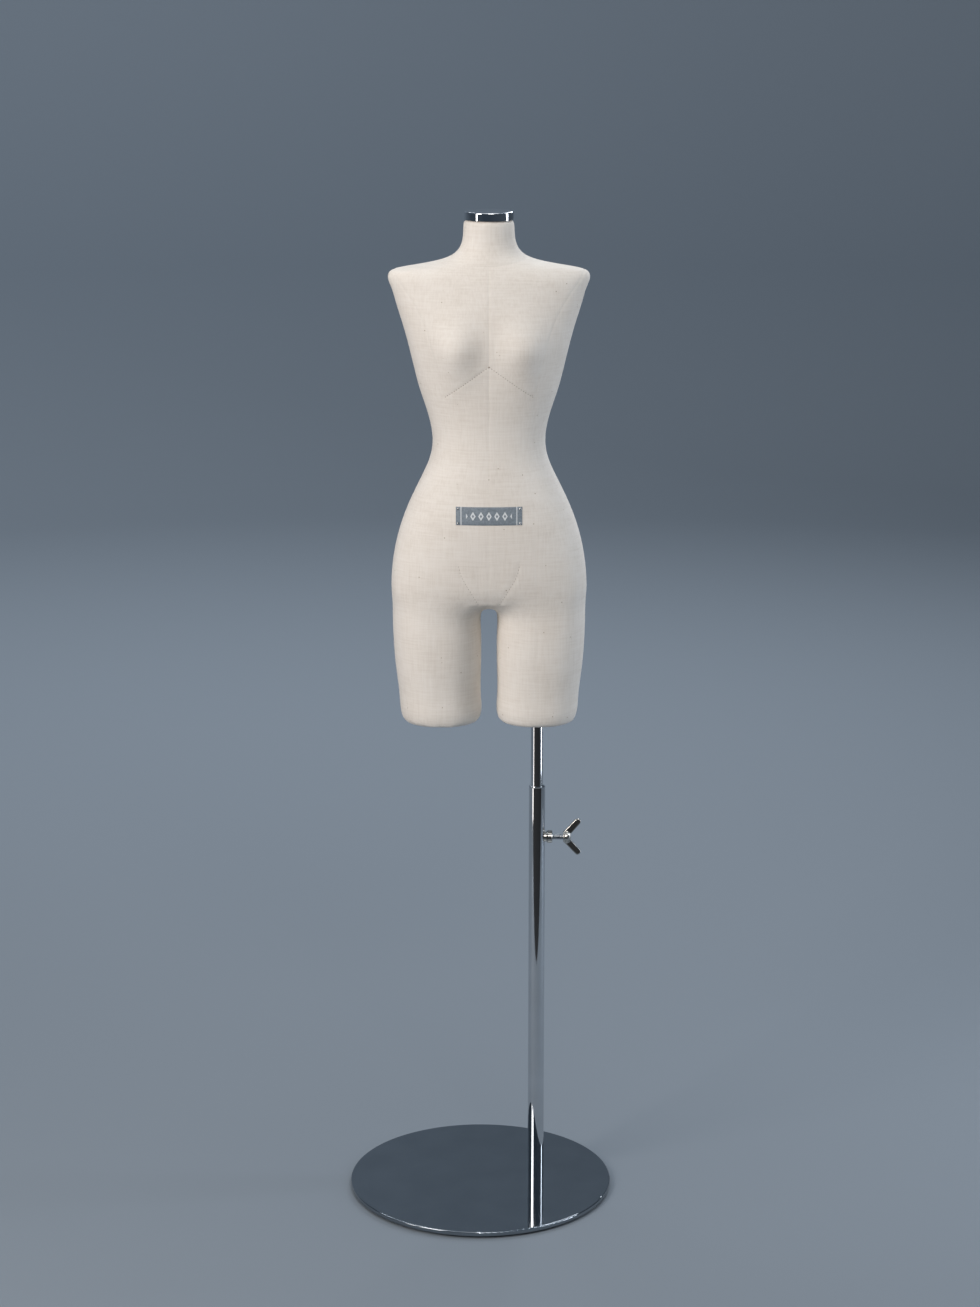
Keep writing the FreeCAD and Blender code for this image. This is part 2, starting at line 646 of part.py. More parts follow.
def flange_screws():
    flange_top = BOARD_TOP + FLANGE_THICKNESS
    screws = []
    for i in range(FLANGE_SCREW_COUNT):
        turn = (i + 0.5) * 2 * math.pi / FLANGE_SCREW_COUNT
        reach = FLANGE_SCREW_PCD / 2
        place = UPPER + Vector(math.cos(turn), math.sin(turn), 0) * reach
        shank = rod(FLANGE_SCREW_DIAMETER / 2, BOARD_TOP - FLANGE_SCREW_DEPTH, flange_top, place)
        head_top = flange_top + FLANGE_SCREW_HEAD_HEIGHT
        head = rod(FLANGE_SCREW_HEAD_DIAMETER / 2, flange_top, head_top, place)
        screws.append(shank.fuse(head).removeSplitter())
    return screws


def make_socket():
    """Steel tube that takes the pole, with its closed top and its flange on the board."""
    low = HEM_HEIGHT + COVER_THICKNESS
    save(pipe(SOCKET_RADIUS, SOCKET_BORE_RADIUS, low, SOCKET_TOP, UPPER), "socket_tube")
    cap = rod(SOCKET_RADIUS, SOCKET_TOP, SOCKET_TOP + SOCKET_CAP_THICKNESS, UPPER)
    save(cap, "socket_cap")
    screws = Part.makeCompound(flange_screws())
    flange = pipe(FLANGE_DIAMETER / 2, SOCKET_RADIUS, BOARD_TOP, BOARD_TOP + FLANGE_THICKNESS, UPPER)
    save(flange.cut(screws), "socket_flange")
    save(screws, "flange_screws")


# ---------------------------------------------------------------- neck
def make_neck(cavity):
    """Wooden block in the neck, and the chromed cap screwed down on it."""
    centre = Vector(TORSO_X, TORSO_Y, 0)
    stud_low = NECK_TOP + CAP_HEIGHT - CAP_WALL - CAP_STUD_LENGTH
    stud = rod(CAP_STUD_DIAMETER / 2, stud_low, NECK_TOP + CAP_HEIGHT - CAP_WALL, centre)
    under_cap = NECK_TOP + CAP_HEIGHT - CAP_WALL
    block = cavity.common(slab(NECK_TOP - NECK_BLOCK_DEPTH, NECK_TOP))
    plinth = rod(NECK_RADIUS - CAVITY_INSET - NECK_BLOCK_PLAY, NECK_TOP - CAP_WALL, under_cap, centre)
    save(block.fuse(plinth).cut(stud), "neck_block")
    cap = rod(CAP_DIAMETER / 2, NECK_TOP, NECK_TOP + CAP_HEIGHT, centre)
    cap = cap.makeFillet(CAP_EDGE_RADIUS, round_edges(cap, NECK_TOP + 1))
    hollow = rod(CAP_DIAMETER / 2 - CAP_WALL, NECK_TOP - 1, under_cap, centre)
    save(cap.cut(hollow), "neck_cap")
    save(stud, "neck_cap_stud")


# ---------------------------------------------------------------- label
def make_label(outside):
    """Woven label, bent to the belly, and the four pins that hold its corners."""
    low = HEM_HEIGHT + LABEL_CENTRE_HEIGHT - LABEL_HEIGHT / 2
    left = TORSO_X - LABEL_WIDTH / 2
    block = Part.makeBox(LABEL_WIDTH, FAR, LABEL_HEIGHT, Vector(left, TORSO_Y - FAR, low))
    label = body(-LABEL_THICKNESS).common(block).cut(outside)
    pins = []
    for side in (-1, 1):
        for level in (-1, 1):
            x = TORSO_X + side * (LABEL_WIDTH / 2 - LABEL_PIN_INSET)
            z = HEM_HEIGHT + LABEL_CENTRE_HEIGHT + level * (LABEL_HEIGHT / 2 - LABEL_PIN_INSET)
            pins.append(label_pin(label, x, z))
    shafts = Part.makeCompound(pins)
    save(label.cut(shafts), "label")
    save(shafts, "label_pins")
    return shafts


def label_pin(label, x, z):
    """A round-headed pin, its head on the label's face."""
    probe = Part.makeLine(Vector(x, -FAR, z), Vector(x, TORSO_Y, z))
    face_y = label.common(probe).BoundBox.YMin
    shaft = Part.makeCylinder(PIN_SHAFT_DIAMETER / 2, PIN_LENGTH, Vector(x, face_y, z), Vector(0, 1, 0))
    head = Part.makeSphere(PIN_HEAD_DIAMETER / 2, Vector(x, face_y, z))
    side = 2 * PIN_HEAD_DIAMETER
    front = Part.makeBox(side, side, side, Vector(x - side / 2, face_y - side, z - side / 2))
    return shaft.fuse(head.common(front)).removeSplitter()


# ---------------------------------------------------------------- run
def make_stand():
    save(base_plate(), "base_plate")
    save(base_pads(), "base_pads")
    save(base_screw(), "base_screw")
    save(lower_tube(), "lower_tube")
    save(lower_tube_plug(), "lower_tube_plug")
    save(upper_tube(), "upper_tube")
    save(upper_tube_end_plug(), "upper_tube_end_plug")
    save(upper_tube_top_plug(), "upper_tube_top_plug")
    save(swivel_glide(), "swivel_glide")
    save(clamp_boss(), "clamp_boss")
    save(clamp_tip(), "clamp_tip")
    save(clamp_screw(), "clamp_screw")
    save(wing_head(), "wing_head")


def make_torso():
    outside = body(0)
    under_cover = body(PADDING_INSET)
    shell_outside = body(SHELL_INSET)
    cavity = opened_below(body(CAVITY_INSET))
    pins = make_label(outside)
    make_cover(outside.cut(pins), under_cover)
    boards = make_boards(under_cover, cavity)
    make_padding(under_cover.cut(pins), shell_outside, boards)
    make_shell(shell_outside, cavity)
    make_socket()
    make_neck(cavity)


os.makedirs("parts", exist_ok=True)
make_stand()
make_torso()
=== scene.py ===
import bmesh
import bpy
import math
import numpy as np
from mathutils import Matrix, Vector, bvhtree, kdtree, noise


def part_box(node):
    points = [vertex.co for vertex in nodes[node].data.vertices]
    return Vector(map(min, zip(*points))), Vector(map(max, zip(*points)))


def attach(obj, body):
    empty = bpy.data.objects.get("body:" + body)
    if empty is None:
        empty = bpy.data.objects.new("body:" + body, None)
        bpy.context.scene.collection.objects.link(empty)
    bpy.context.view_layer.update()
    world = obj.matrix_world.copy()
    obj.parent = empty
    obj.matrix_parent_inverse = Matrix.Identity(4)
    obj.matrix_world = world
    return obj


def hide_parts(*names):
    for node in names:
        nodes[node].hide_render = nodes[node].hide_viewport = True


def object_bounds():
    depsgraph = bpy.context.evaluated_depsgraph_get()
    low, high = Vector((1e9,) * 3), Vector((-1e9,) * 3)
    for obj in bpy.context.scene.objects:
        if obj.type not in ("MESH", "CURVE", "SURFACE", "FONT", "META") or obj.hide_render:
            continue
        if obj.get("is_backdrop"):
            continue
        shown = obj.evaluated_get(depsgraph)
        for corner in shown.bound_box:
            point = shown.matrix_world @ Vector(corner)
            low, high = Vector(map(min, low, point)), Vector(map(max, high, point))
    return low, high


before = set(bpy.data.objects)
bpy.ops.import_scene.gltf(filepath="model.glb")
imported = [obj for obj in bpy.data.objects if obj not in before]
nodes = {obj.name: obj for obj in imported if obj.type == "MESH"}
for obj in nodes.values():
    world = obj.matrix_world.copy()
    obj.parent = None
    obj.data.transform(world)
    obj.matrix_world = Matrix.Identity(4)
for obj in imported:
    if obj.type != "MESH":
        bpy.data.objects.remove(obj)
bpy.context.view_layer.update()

# ---- Camera ----
# A short telephoto a little above the form, tipped down until the whole stand
# is in the picture. The lens is given for a 36 mm long side.
camera_data = bpy.data.cameras.new("camera")
camera_data.lens = 79.33
camera_data.sensor_width = 36.0
camera_data.clip_start = 0.1
camera_data.clip_end = 60.0
camera = bpy.data.objects.new("camera", camera_data)
camera.location = (0.0095, -2.6842, 1.2223)
camera.rotation_euler = (math.radians(75.913), 0.0, 0.0)
bpy.context.scene.collection.objects.link(camera)
bpy.context.scene.camera = camera
bpy.context.scene.view_settings.view_transform = "Standard"


# ---- Studio floor and cove ----
# A painted floor that runs up all round into one smooth wall, in a mid blue grey, with painted light on it:
# darkest low in the cove and paler up the wall.
# A black felt in front, out of every view and casting no shadow, is seen only in reflections: a painted
# dark reflection that gives the bright metal its dark cores.
FLOOR_RADIUS = 3.4
COVE_RADIUS = 1.2
WALL_HEIGHT = 4.2


def linear(hex_colour):
    """An sRGB hex colour as the linear RGBA that a shader takes."""
    channels = [int(hex_colour[i:i + 2], 16) / 255 for i in (0, 2, 4)]
    return [c / 12.92 if c <= 0.04045 else ((c + 0.055) / 1.055) ** 2.4 for c in channels] + [1.0]


def node(tree, kind, settings=None, **links):
    """Adds a shader node. settings are its properties and input values by name, links its inputs."""
    made = tree.nodes.new("ShaderNode" + kind)
    for key, value in (settings or {}).items():
        if hasattr(made, key):
            setattr(made, key, value)
        else:
            made.inputs[key].default_value = value
    for key, source in links.items():
        socket = made.inputs[int(key[1:])] if key[1:].isdigit() else made.inputs[key.replace("_", " ")]
        tree.links.new(source, socket)
    return made


def new_material(name):
    """A material with one Principled shader. Returns it, its node tree and the shader."""
    material = bpy.data.materials.new(name)
    material.use_nodes = True
    tree = material.node_tree
    return material, tree, tree.nodes["Principled BSDF"]


def ramp(tree, factor, stops):
    """A colour ramp from (place, hex colour) stops."""
    made = node(tree, "ValToRGB", Fac=factor)
    elements = made.color_ramp.elements
    while len(elements) < len(stops):
        elements.new(0.5)
    for element, (place, colour) in zip(elements, stops):
        element.position = place
        element.color = linear(colour)
    return made.outputs["Color"]


def mesh_object(name, points, faces, material):
    """A smooth-shaded mesh object with one material."""
    mesh = bpy.data.meshes.new(name)
    mesh.from_pydata(points, [], faces)
    mesh.polygons.foreach_set("use_smooth", [True] * len(mesh.polygons))
    mesh.materials.append(material)
    made = bpy.data.objects.new(name, mesh)
    bpy.context.scene.collection.objects.link(made)
    return made


def turned(name, outline, segments, material, centre=(0.0, 0.0)):
    """A surface turned about a vertical axis from (radius, height) points."""
    points = []
    for radius, height in outline:
        for i in range(segments):
            turn = 2 * math.pi * i / segments
            across, deep = radius * math.cos(turn), radius * math.sin(turn)
            points.append((centre[0] + across, centre[1] + deep, height))
    faces = []
    for row in range(len(outline) - 1):
        low, high = row * segments, (row + 1) * segments
        for i in range(segments):
            j = (i + 1) % segments
            faces.append((low + i, low + j, high + j, high + i))
    return mesh_object(name, points, faces, material)


paint, tree, shader = new_material("matt_studio_paint")
# Painted light: the colour is darkest low in the cove and grows paler up the wall, standing in for how the
# lamps fall on it.
height = node(tree, "SeparateXYZ", Vector=node(tree, "TexCoord").outputs["Object"]).outputs["Z"]
share = node(tree, "MapRange", {"From Max": 2.2}, Value=height).outputs["Result"]
painted_light_by_height = ramp(tree, share, [(0.0, "767F87"), (0.2, "707A83"), (0.6, "808A93"), (1.0, "949EA7")])
tree.links.new(painted_light_by_height, shader.inputs["Base Color"])
shader.inputs["Roughness"].default_value = 0.9
arc = [math.pi / 2 * i / 16 for i in range(17)]
profile = [(0.001, 0.0), (1.0, 0.0), (2.0, 0.0)]
profile += [(FLOOR_RADIUS + COVE_RADIUS * math.sin(a), COVE_RADIUS * (1 - math.cos(a))) for a in arc]
profile += [(FLOOR_RADIUS + COVE_RADIUS, WALL_HEIGHT)]
cove = turned("studio_cove", profile, 96, paint)

# Black felt: takes in nearly all light, with a fine fluff. Only reflections see it, so it is a painted dark
# reflection in the metal, not a thing lying on the floor.
felt, tree, shader = new_material("black_wool_felt")
FLUFF_PERIOD = 0.0025
space = node(tree, "TexCoord").outputs["Object"]
fluff = node(tree, "TexNoise", {"Scale": 1 / FLUFF_PERIOD, "Detail": 3.0}, Vector=space).outputs["Fac"]
tree.links.new(ramp(tree, fluff, [(0.3, "0C0D0F"), (0.7, "16181B")]), shader.inputs["Base Color"])
shader.inputs["Roughness"].default_value = 1.0
FELT_SIZE = (3.0, 1.7)
FELT_EDGE = -0.62
FELT_HEIGHT = 0.002
across, back = FELT_SIZE[0] / 2, FELT_EDGE - FELT_SIZE[1]
corners = [(-across, back), (across, back), (across, FELT_EDGE), (-across, FELT_EDGE)]
points = [(px, py, FELT_HEIGHT) for px, py in corners]
reflection_only_sheet = mesh_object("studio_felt", points, [(0, 1, 2, 3)], felt)
# Hidden from the camera, from diffuse light and from shadows: this dark sheet shows only as a painted
# reflection in the metal.
reflection_only_sheet.visible_camera = False
reflection_only_sheet.visible_diffuse = False
reflection_only_sheet.visible_shadow = False
reflection_only_sheet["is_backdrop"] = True
cove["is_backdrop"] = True

# ---- Studio lights ----
# A large soft box in front on the left with a narrow strip beside it, and a cooler
# strip on the right. Broad boxes add light from above, in front and behind, and one
# is for the wall.


def soft_box(name, place, target, width, tall, power, colour):
    """A rectangular area light aimed at a point."""
    lamp = bpy.data.lights.new(name, "AREA")
    lamp.shape = "RECTANGLE"
    lamp.size = width
    lamp.size_y = tall
    lamp.energy = power
    lamp.color = linear(colour)[:3]
    made = bpy.data.objects.new(name, lamp)
    made.location = place
    made.rotation_euler = (Vector(target) - Vector(place)).to_track_quat("-Z", "Y").to_euler()
    bpy.context.scene.collection.objects.link(made)


soft_box("key_box", (-1.7, -1.7, 1.7), (0.0, 0.0, 0.75), 0.9, 1.3, 37.0, "FFF8F4")
soft_box("strip_box", (-0.85, -0.52, 0.80), (0.05, 0.0, 0.80), 0.14, 1.5, 2.2, "FFF8F4")
soft_box("side_box", (1.25, 0.1, 0.85), (0.0, 0.0, 0.75), 0.22, 1.6, 8.0, "EAF1FC")
soft_box("top_box", (0.2, -0.2, 3.0), (0.0, 0.0, 0.0), 1.6, 1.6, 15.0, "FFFFFF")
soft_box("front_box", (0.5, -2.7, 2.2), (0.0, 0.0, 0.6), 1.3, 0.8, 23.0, "FFFAF6")
soft_box("back_box", (0.9, 2.3, 2.1), (0.0, 0.0, 0.7), 1.2, 0.9, 26.0, "F4F8FF")
soft_box("wall_box", (-1.0, 1.8, 2.6), (-0.9, 3.6, 0.2), 1.5, 1.0, 45.0, "F4F8FF")
world = bpy.data.worlds.new("studio_air")
bpy.context.scene.world = world
world.use_nodes = True
world.node_tree.nodes["Background"].inputs["Color"].default_value = linear("9FB0C2")
world.node_tree.nodes["Background"].inputs["Strength"].default_value = 0.5


# ---- Base plate ----
# A round steel plate, polished and plated dark, with a softened rim. It lies on
# six rubber pads, and one countersunk screw from below holds the pole's foot.


def finish_with(names, material):
    """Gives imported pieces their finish."""
    for name in names:
        nodes[name].data.materials.clear()
        nodes[name].data.materials.append(material)


def object_space(tree, scale=(1.0, 1.0, 1.0)):
    """Object coordinates in metres, stretched per axis."""
    coordinates = node(tree, "TexCoord").outputs["Object"]
    return node(tree, "Mapping", {"Scale": scale}, Vector=coordinates).outputs["Vector"]


def noise_of(tree, space, period, detail=2.0):
    """Noise with a given period in metres."""
    return node(tree, "TexNoise", {"Scale": 1 / period, "Detail": detail}, Vector=space).outputs["Fac"]


def remapped(tree, value, low, high, to_low, to_high):
    settings = {"From Min": low, "From Max": high, "To Min": to_low, "To Max": to_high}
    return node(tree, "MapRange", settings, Value=value).outputs["Result"]


def plated(name, colour, roughness, smudge, swirl):
    """Polished plating: a mirror that wiping has left a little uneven, with a faint swell in it."""
    material, tree, shader = new_material(name)
    shader.inputs["Metallic"].default_value = 1.0
    space = object_space(tree)
    wiped = noise_of(tree, object_space(tree, (1.0, 1.0, 0.35)), 0.018, 5.0)
    gloss = remapped(tree, wiped, 0.35, 0.75, roughness, roughness + smudge)
    tree.links.new(gloss, shader.inputs["Roughness"])
    dull = remapped(tree, noise_of(tree, space, 0.04, 3.0), 0.3, 0.7, 0.0, 1.0)
    tree.links.new(ramp(tree, dull, colour), shader.inputs["Base Color"])
    swell = noise_of(tree, space, 0.03, 1.0)
    bump = node(tree, "Bump", {"Strength": swirl, "Distance": 0.0002}, Height=swell)
    tree.links.new(bump.outputs["Normal"], shader.inputs["Normal"])
    return material


# Dark nickel over buffed steel: a deep mirror with a cool cast and fine haze.
dark_nickel = plated("dark_nickel_buffed", [(0.0, "92989D"), (1.0, "9AA0A5")], 0.035, 0.05, 0.1)
finish_with(["base_plate"], dark_nickel)

# Black natural rubber, moulded: dull, with the pitted face of a cheap mould.
rubber, tree, shader = new_material("rubber_moulded")
pits = noise_of(tree, object_space(tree), 0.0012, 3.0)
tree.links.new(ramp(tree, pits, [(0.35, "141415"), (0.7, "232324")]), shader.inputs["Base Color"])
shader.inputs["Roughness"].default_value = 0.82
bump = node(tree, "Bump", {"Strength": 0.5, "Distance": 0.0001}, Height=pits)
tree.links.new(bump.outputs["Normal"], shader.inputs["Normal"])
finish_with(["base_pads"], rubber)

# Zinc-plated steel: bluish, less sharp than chrome, spotted where it was dipped.
zinc, tree, shader = new_material("steel_zinc_plated")
shader.inputs["Metallic"].default_value = 1.0
spots = noise_of(tree, object_space(tree), 0.003, 4.0)
tree.links.new(ramp(tree, spots, [(0.3, "9AA0A6"), (0.7, "BFC5C9")]), shader.inputs["Base Color"])
tree.links.new(remapped(tree, spots, 0.3, 0.7, 0.24, 0.4), shader.inputs["Roughness"])
STEEL_NODES = ["base_screw", "lower_tube_plug", "upper_tube_top_plug", "socket_tube", "socket_cap"]
STEEL_NODES += ["socket_flange", "flange_screws", "neck_cap_stud"]
finish_with(STEEL_NODES, zinc)

# ---- Pole ----
# Two telescopic steel tubes, ground, buffed and chromed. The inner one slides in
# the outer one and carries the torso on a nylon glide pressed into its top plug.

# Bright chrome: nearly a perfect mirror, with faint lengthwise streaks from wiping.
chrome = plated("steel_bright_chrome", [(0.0, "D4D6D8"), (1.0, "DEE0E2")], 0.03, 0.06, 0.06)
finish_with(["lower_tube", "upper_tube"], chrome)

# Natural nylon, turned: milky and slightly waxy, light goes a little way in.
nylon, tree, shader = new_material("nylon_turned")
cloud = noise_of(tree, object_space(tree), 0.004, 3.0)
tree.links.new(ramp(tree, cloud, [(0.3, "D8D3C2"), (0.7, "E6E2D4")]), shader.inputs["Base Color"])
shader.inputs["Roughness"].default_value = 0.38
shader.inputs["Subsurface Weight"].default_value = 0.25
shader.inputs["Subsurface Scale"].default_value = 0.002
finish_with(["swivel_glide", "clamp_tip"], nylon)

# Black polyethylene, moulded: soft gloss and a fine leathery grain.
polyethylene, tree, shader = new_material("polyethylene_moulded")
grain = noise_of(tree, object_space(tree), 0.0008, 2.0)
tree.links.new(ramp(tree, grain, [(0.3, "121314"), (0.8, "1C1D1F")]), shader.inputs["Base Color"])
shader.inputs["Roughness"].default_value = 0.45
bump = node(tree, "Bump", {"Strength": 0.25, "Distance": 0.00005}, Height=grain)
tree.links.new(bump.outputs["Normal"], shader.inputs["Normal"])
finish_with(["upper_tube_end_plug"], polyethylene)

# ---- Height clamp ----
# A turned boss brazed to the outer tube, a threaded stud and a die-cast wing head
# pressed on it. The boss and the wing are nickel-plated, the stud is zinc-plated.


def keep_outer_island(skin):
    """Deletes every island of a bmesh but the one that holds its highest vertex."""
    top = max(skin.verts, key=lambda v: v.co.z)
    reached = {top}
    front = [top]
    while front:
        grown = []
        for vert in front:
            for edge in vert.link_edges:
                other = edge.other_vert(vert)
                if other not in reached:
                    reached.add(other)
                    grown.append(other)
        front = grown
    bmesh.ops.delete(skin, geom=[v for v in skin.verts if v not in reached], context="VERTS")
    skin.verts.index_update()


def skinned(names, voxel, extra=None):
    """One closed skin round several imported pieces, as a bmesh, without what lies inside it."""
    joined = bmesh.new()
    for name in names:
        joined.from_mesh(nodes[name].data)
    if extra:
        extra(joined)
    mesh = bpy.data.meshes.new("joined")
    joined.to_mesh(mesh)
    joined.free()
    source = bpy.data.objects.new("joined", mesh)
    bpy.context.scene.collection.objects.link(source)
    remesh = source.modifiers.new("remesh", "REMESH")
    remesh.mode = "VOXEL"
    remesh.voxel_size = voxel
    bpy.context.view_layer.update()
    evaluated = source.evaluated_get(bpy.context.evaluated_depsgraph_get())
    skin = bmesh.new()
    skin.from_mesh(evaluated.to_mesh())
    bpy.data.objects.remove(source)
    bpy.data.meshes.remove(mesh)
    keep_outer_island(skin)
    return skin


def places(skin):
    return np.array([v.co for v in skin.verts])


def set_places(skin, co):
    for vert, point in zip(skin.verts, co):
        vert.co = point


def edges_of(skin):
    skin.verts.index_update()
    return np.array([[v.index for v in e.verts] for e in skin.edges])


def relaxed(co, edges, weight, rounds):
    """Points drawn towards the mean of their neighbours, by weight, round after round."""
    first, second = edges.T
    count = np.bincount(edges.ravel(), minlength=len(co))
    for _ in range(rounds):
        moved = co.copy()
        for axis in range(3):
            total = np.bincount(first, co[second, axis], len(co))
            total = total + np.bincount(second, co[first, axis], len(co))
            moved[:, axis] += 0.5 * weight * (total / count - co[:, axis])
        co = moved
    return co


def smooth_object(name, skin, material):
    """A smooth-shaded mesh object from a bmesh."""
    mesh = bpy.data.meshes.new(name)
    skin.to_mesh(mesh)
    skin.free()
    mesh.polygons.foreach_set("use_smooth", [True] * len(mesh.polygons))
    mesh.materials.append(material)
    made = bpy.data.objects.new(name, mesh)
    bpy.context.scene.collection.objects.link(made)
    return made


nickel = plated("nickel_over_die_casting", [(0.0, "B9B6AF"), (1.0, "CFCDC8")], 0.1, 0.14, 0.5)
CASTING_VOXEL = 0.00045
CASTING_ROUNDS = 7
casting = skinned(["wing_head"], CASTING_VOXEL)
co = relaxed(places(casting), edges_of(casting), np.ones(len(casting.verts)), CASTING_ROUNDS)
set_places(casting, co)
wing_head = smooth_object("wing_head_cast", casting, nickel)
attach(wing_head, "wing_screw")
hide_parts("wing_head")

THREAD_PITCH = 0.001
THREAD_DEPTH = 0.00055
THREAD_CHAMFER = 0.0006
stud_low, stud_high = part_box("clamp_screw")
axis_y = (stud_low.y + stud_high.y) / 2
axis_z = (stud_low.z + stud_high.z) / 2
crest = (stud_high.z - stud_low.z) / 2
AROUND = 32
STEPS_PER_PITCH = 8
rows = int((stud_high.x - stud_low.x) / THREAD_PITCH * STEPS_PER_PITCH)
points = []
for row in range(rows + 1):
    along = stud_low.x + (stud_high.x - stud_low.x) * row / rows
    near_end = min(row, rows - row) / STEPS_PER_PITCH
    for i in range(AROUND):
        phase = (along / THREAD_PITCH - i / AROUND) % 1.0
        chamfer = THREAD_CHAMFER * max(0.0, 1 - near_end)
        radius = crest - THREAD_DEPTH * abs(2 * phase - 1) ** 1.5 - chamfer
        turn = 2 * math.pi * i / AROUND
        points.append((along, axis_y + radius * math.cos(turn), axis_z + radius * math.sin(turn)))
faces = []
for low in range(0, rows * AROUND, AROUND):
    for i in range(AROUND):
        j = (i + 1) % AROUND
        faces.append((low + i, low + j, low + AROUND + j, low + AROUND + i))
faces += [tuple(range(AROUND))[::-1], tuple(rows * AROUND + i for i in range(AROUND))]
stud = mesh_object("clamp_screw_threaded", points, faces, zinc)
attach(stud, "wing_screw")
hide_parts("clamp_screw")
finish_with(["clamp_boss"], nickel)

# ---- Inside the torso ----
# A moulded glass-fibre shell in two halves on plywood ends, with a beech block in
# the neck and the steel socket that takes the pole.

# Glass-fibre mat in polyester resin: greenish, the strands show as a pale felt.
glass, tree, shader = new_material("glass_fibre_laid_up")
strands = noise_of(tree, object_space(tree, (1.0, 1.0, 0.2)), 0.003, 6.0)
tree.links.new(ramp(tree, strands, [(0.3, "A39B78"), (0.7, "C9C3A2")]), shader.inputs["Base Color"])
shader.inputs["Roughness"].default_value = 0.42
bump = node(tree, "Bump", {"Strength": 0.5, "Distance": 0.0003}, Height=strands)
tree.links.new(bump.outputs["Normal"], shader.inputs["Normal"])
finish_with(["shell_front", "shell_back"], glass)

# Birch plywood, 1.5 mm plies: striped on its sawn edge, long grain on its face.
plywood, tree, shader = new_material("birch_plywood_sawn")
PLY_PAIR = 0.003
ply_scale = 2 * math.pi / 20 / PLY_PAIR
plies = node(tree, "TexWave", {"Scale": ply_scale, "bands_direction": "Z"}, Vector=object_space(tree))
face_grain = noise_of(tree, object_space(tree, (1.0, 0.08, 1.0)), 0.002, 4.0)
figure = node(tree, "Mix", {"Factor": 0.5}, _2=plies.outputs["Fac"], _3=face_grain)
wood = ramp(tree, figure.outputs[0], [(0.25, "B08D5C"), (0.75, "D9BD8E")])
tree.links.new(wood, shader.inputs["Base Color"])
shader.inputs["Roughness"].default_value = 0.7
finish_with(["thigh_board_left", "thigh_board_right", "socket_bulkhead"], plywood)

# Turned beech, waxed: pinkish brown with short dark rays along the grain.
beech, tree, shader = new_material("beech_turned")
rays = noise_of(tree, object_space(tree, (1.0, 1.0, 0.15)), 0.0015, 4.0)
tree.links.new(ramp(tree, rays, [(0.3, "A87C55"), (0.65, "CBA27A")]), shader.inputs["Base Color"])
shader.inputs["Roughness"].default_value = 0.5
finish_with(["neck_block"], beech)

# ---- Cotton cover: the shape it is drawn over ----
# The form is drawn tight in undyed plain-weave cotton over foam. One skin is laid
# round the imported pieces, eased at the crotch and set as cloth under light pressure.
CENTRE_X = 0.0085
CENTRE_Y = 0.014
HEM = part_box("cover_thigh_end_left")[0].z
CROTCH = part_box("padding_front")[0].z
NECK_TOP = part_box("neck_cap")[0].z
VOXEL = 0.003
EASED_HEIGHT = 0.017
EASED_WIDTH = 0.06
EASING_ROUNDS = 110
MOST_EASING = 0.008
SHELL_COVERED = 0.0014
ARCH_HALF_WIDTH = 0.03
PLUG_RADIUS = 0.009
PLUG_DEPTH = 0.008
COVER_NODES = [n for n in nodes if n.startswith("cover_")]
PADDING_NODES = [n for n in nodes if n.startswith("padding_")]
FILLING_NODES = ["shell_front", "shell_back", "thigh_board_left", "thigh_board_right"]
FILLING_NODES += ["neck_block", "neck_cap_stud", "socket_tube", "socket_cap"]


def bell(distance, width):
    return np.exp(-(distance / width) ** 2)


def fill_pole_hole(joined):
    """A plug in the hole that the pole passes through."""
    low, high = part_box("socket_tube")
    middle = (low + high) / 2
    place = Matrix.Translation((middle.x, middle.y, HEM + PLUG_DEPTH / 2))
    size = {"radius1": PLUG_RADIUS, "radius2": PLUG_RADIUS, "depth": PLUG_DEPTH}
    bmesh.ops.create_cone(joined, cap_ends=True, segments=32, matrix=place, **size)


def axes_of(co):
    """Sideways from the centre front, outwards from the middle depth, and up from the hem."""
    return co[:, 0] - CENTRE_X, co[:, 1] - CENTRE_Y, co[:, 2] - HEM


def normals_of(skin):
    skin.normal_update()
    return np.array([v.normal for v in skin.verts])


def drawn_to_pieces(skin, names, share):
    """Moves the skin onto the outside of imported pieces, by share of the way."""
    joined = bmesh.new()
    for name in names:
        joined.from_mesh(nodes[name].data)
    tree = bvhtree.BVHTree.FromBMesh(joined)
    co = places(skin)
    outside = co + 0.001 * normals_of(skin)
    found = np.array([tree.find_nearest(Vector(p))[0] for p in outside])
    joined.free()
    return co + share[:, None] * (found - co)


skin = skinned(COVER_NODES + PADDING_NODES + FILLING_NODES, VOXEL, fill_pole_hole)
edges = edges_of(skin)
x, y, z = axes_of(places(skin))
crotch_height = CROTCH - HEM
near_crotch = bell(z - crotch_height, EASED_HEIGHT) * np.clip(1.6 - np.abs(x) / EASED_WIDTH, 0, 1)
near_crotch = np.maximum(near_crotch, 0.6 * bell(z - crotch_height, 0.010))
in_neck = z > NECK_TOP - HEM - 0.002
pole_low, pole_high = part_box("socket_tube")
pole_x = (pole_low.x + pole_high.x) / 2
pole_y = (pole_low.y + pole_high.y) / 2
at_pole = (np.hypot(x + CENTRE_X - pole_x, y + CENTRE_Y - pole_y) < PLUG_RADIUS) & (z < 0.01)
held = np.clip(1 - 2.5 * near_crotch, 0, 1) * ~in_neck * ~at_pole
set_places(skin, drawn_to_pieces(skin, COVER_NODES, held))
before = relaxed(places(skin), edges, np.full(len(held), 0.5), 1)
step = relaxed(before, edges, near_crotch, EASING_ROUNDS) - before
length = np.linalg.norm(step, axis=1, keepdims=True)
set_places(skin, before + step * np.minimum(1.0, MOST_EASING / np.maximum(length, 1e-9)))


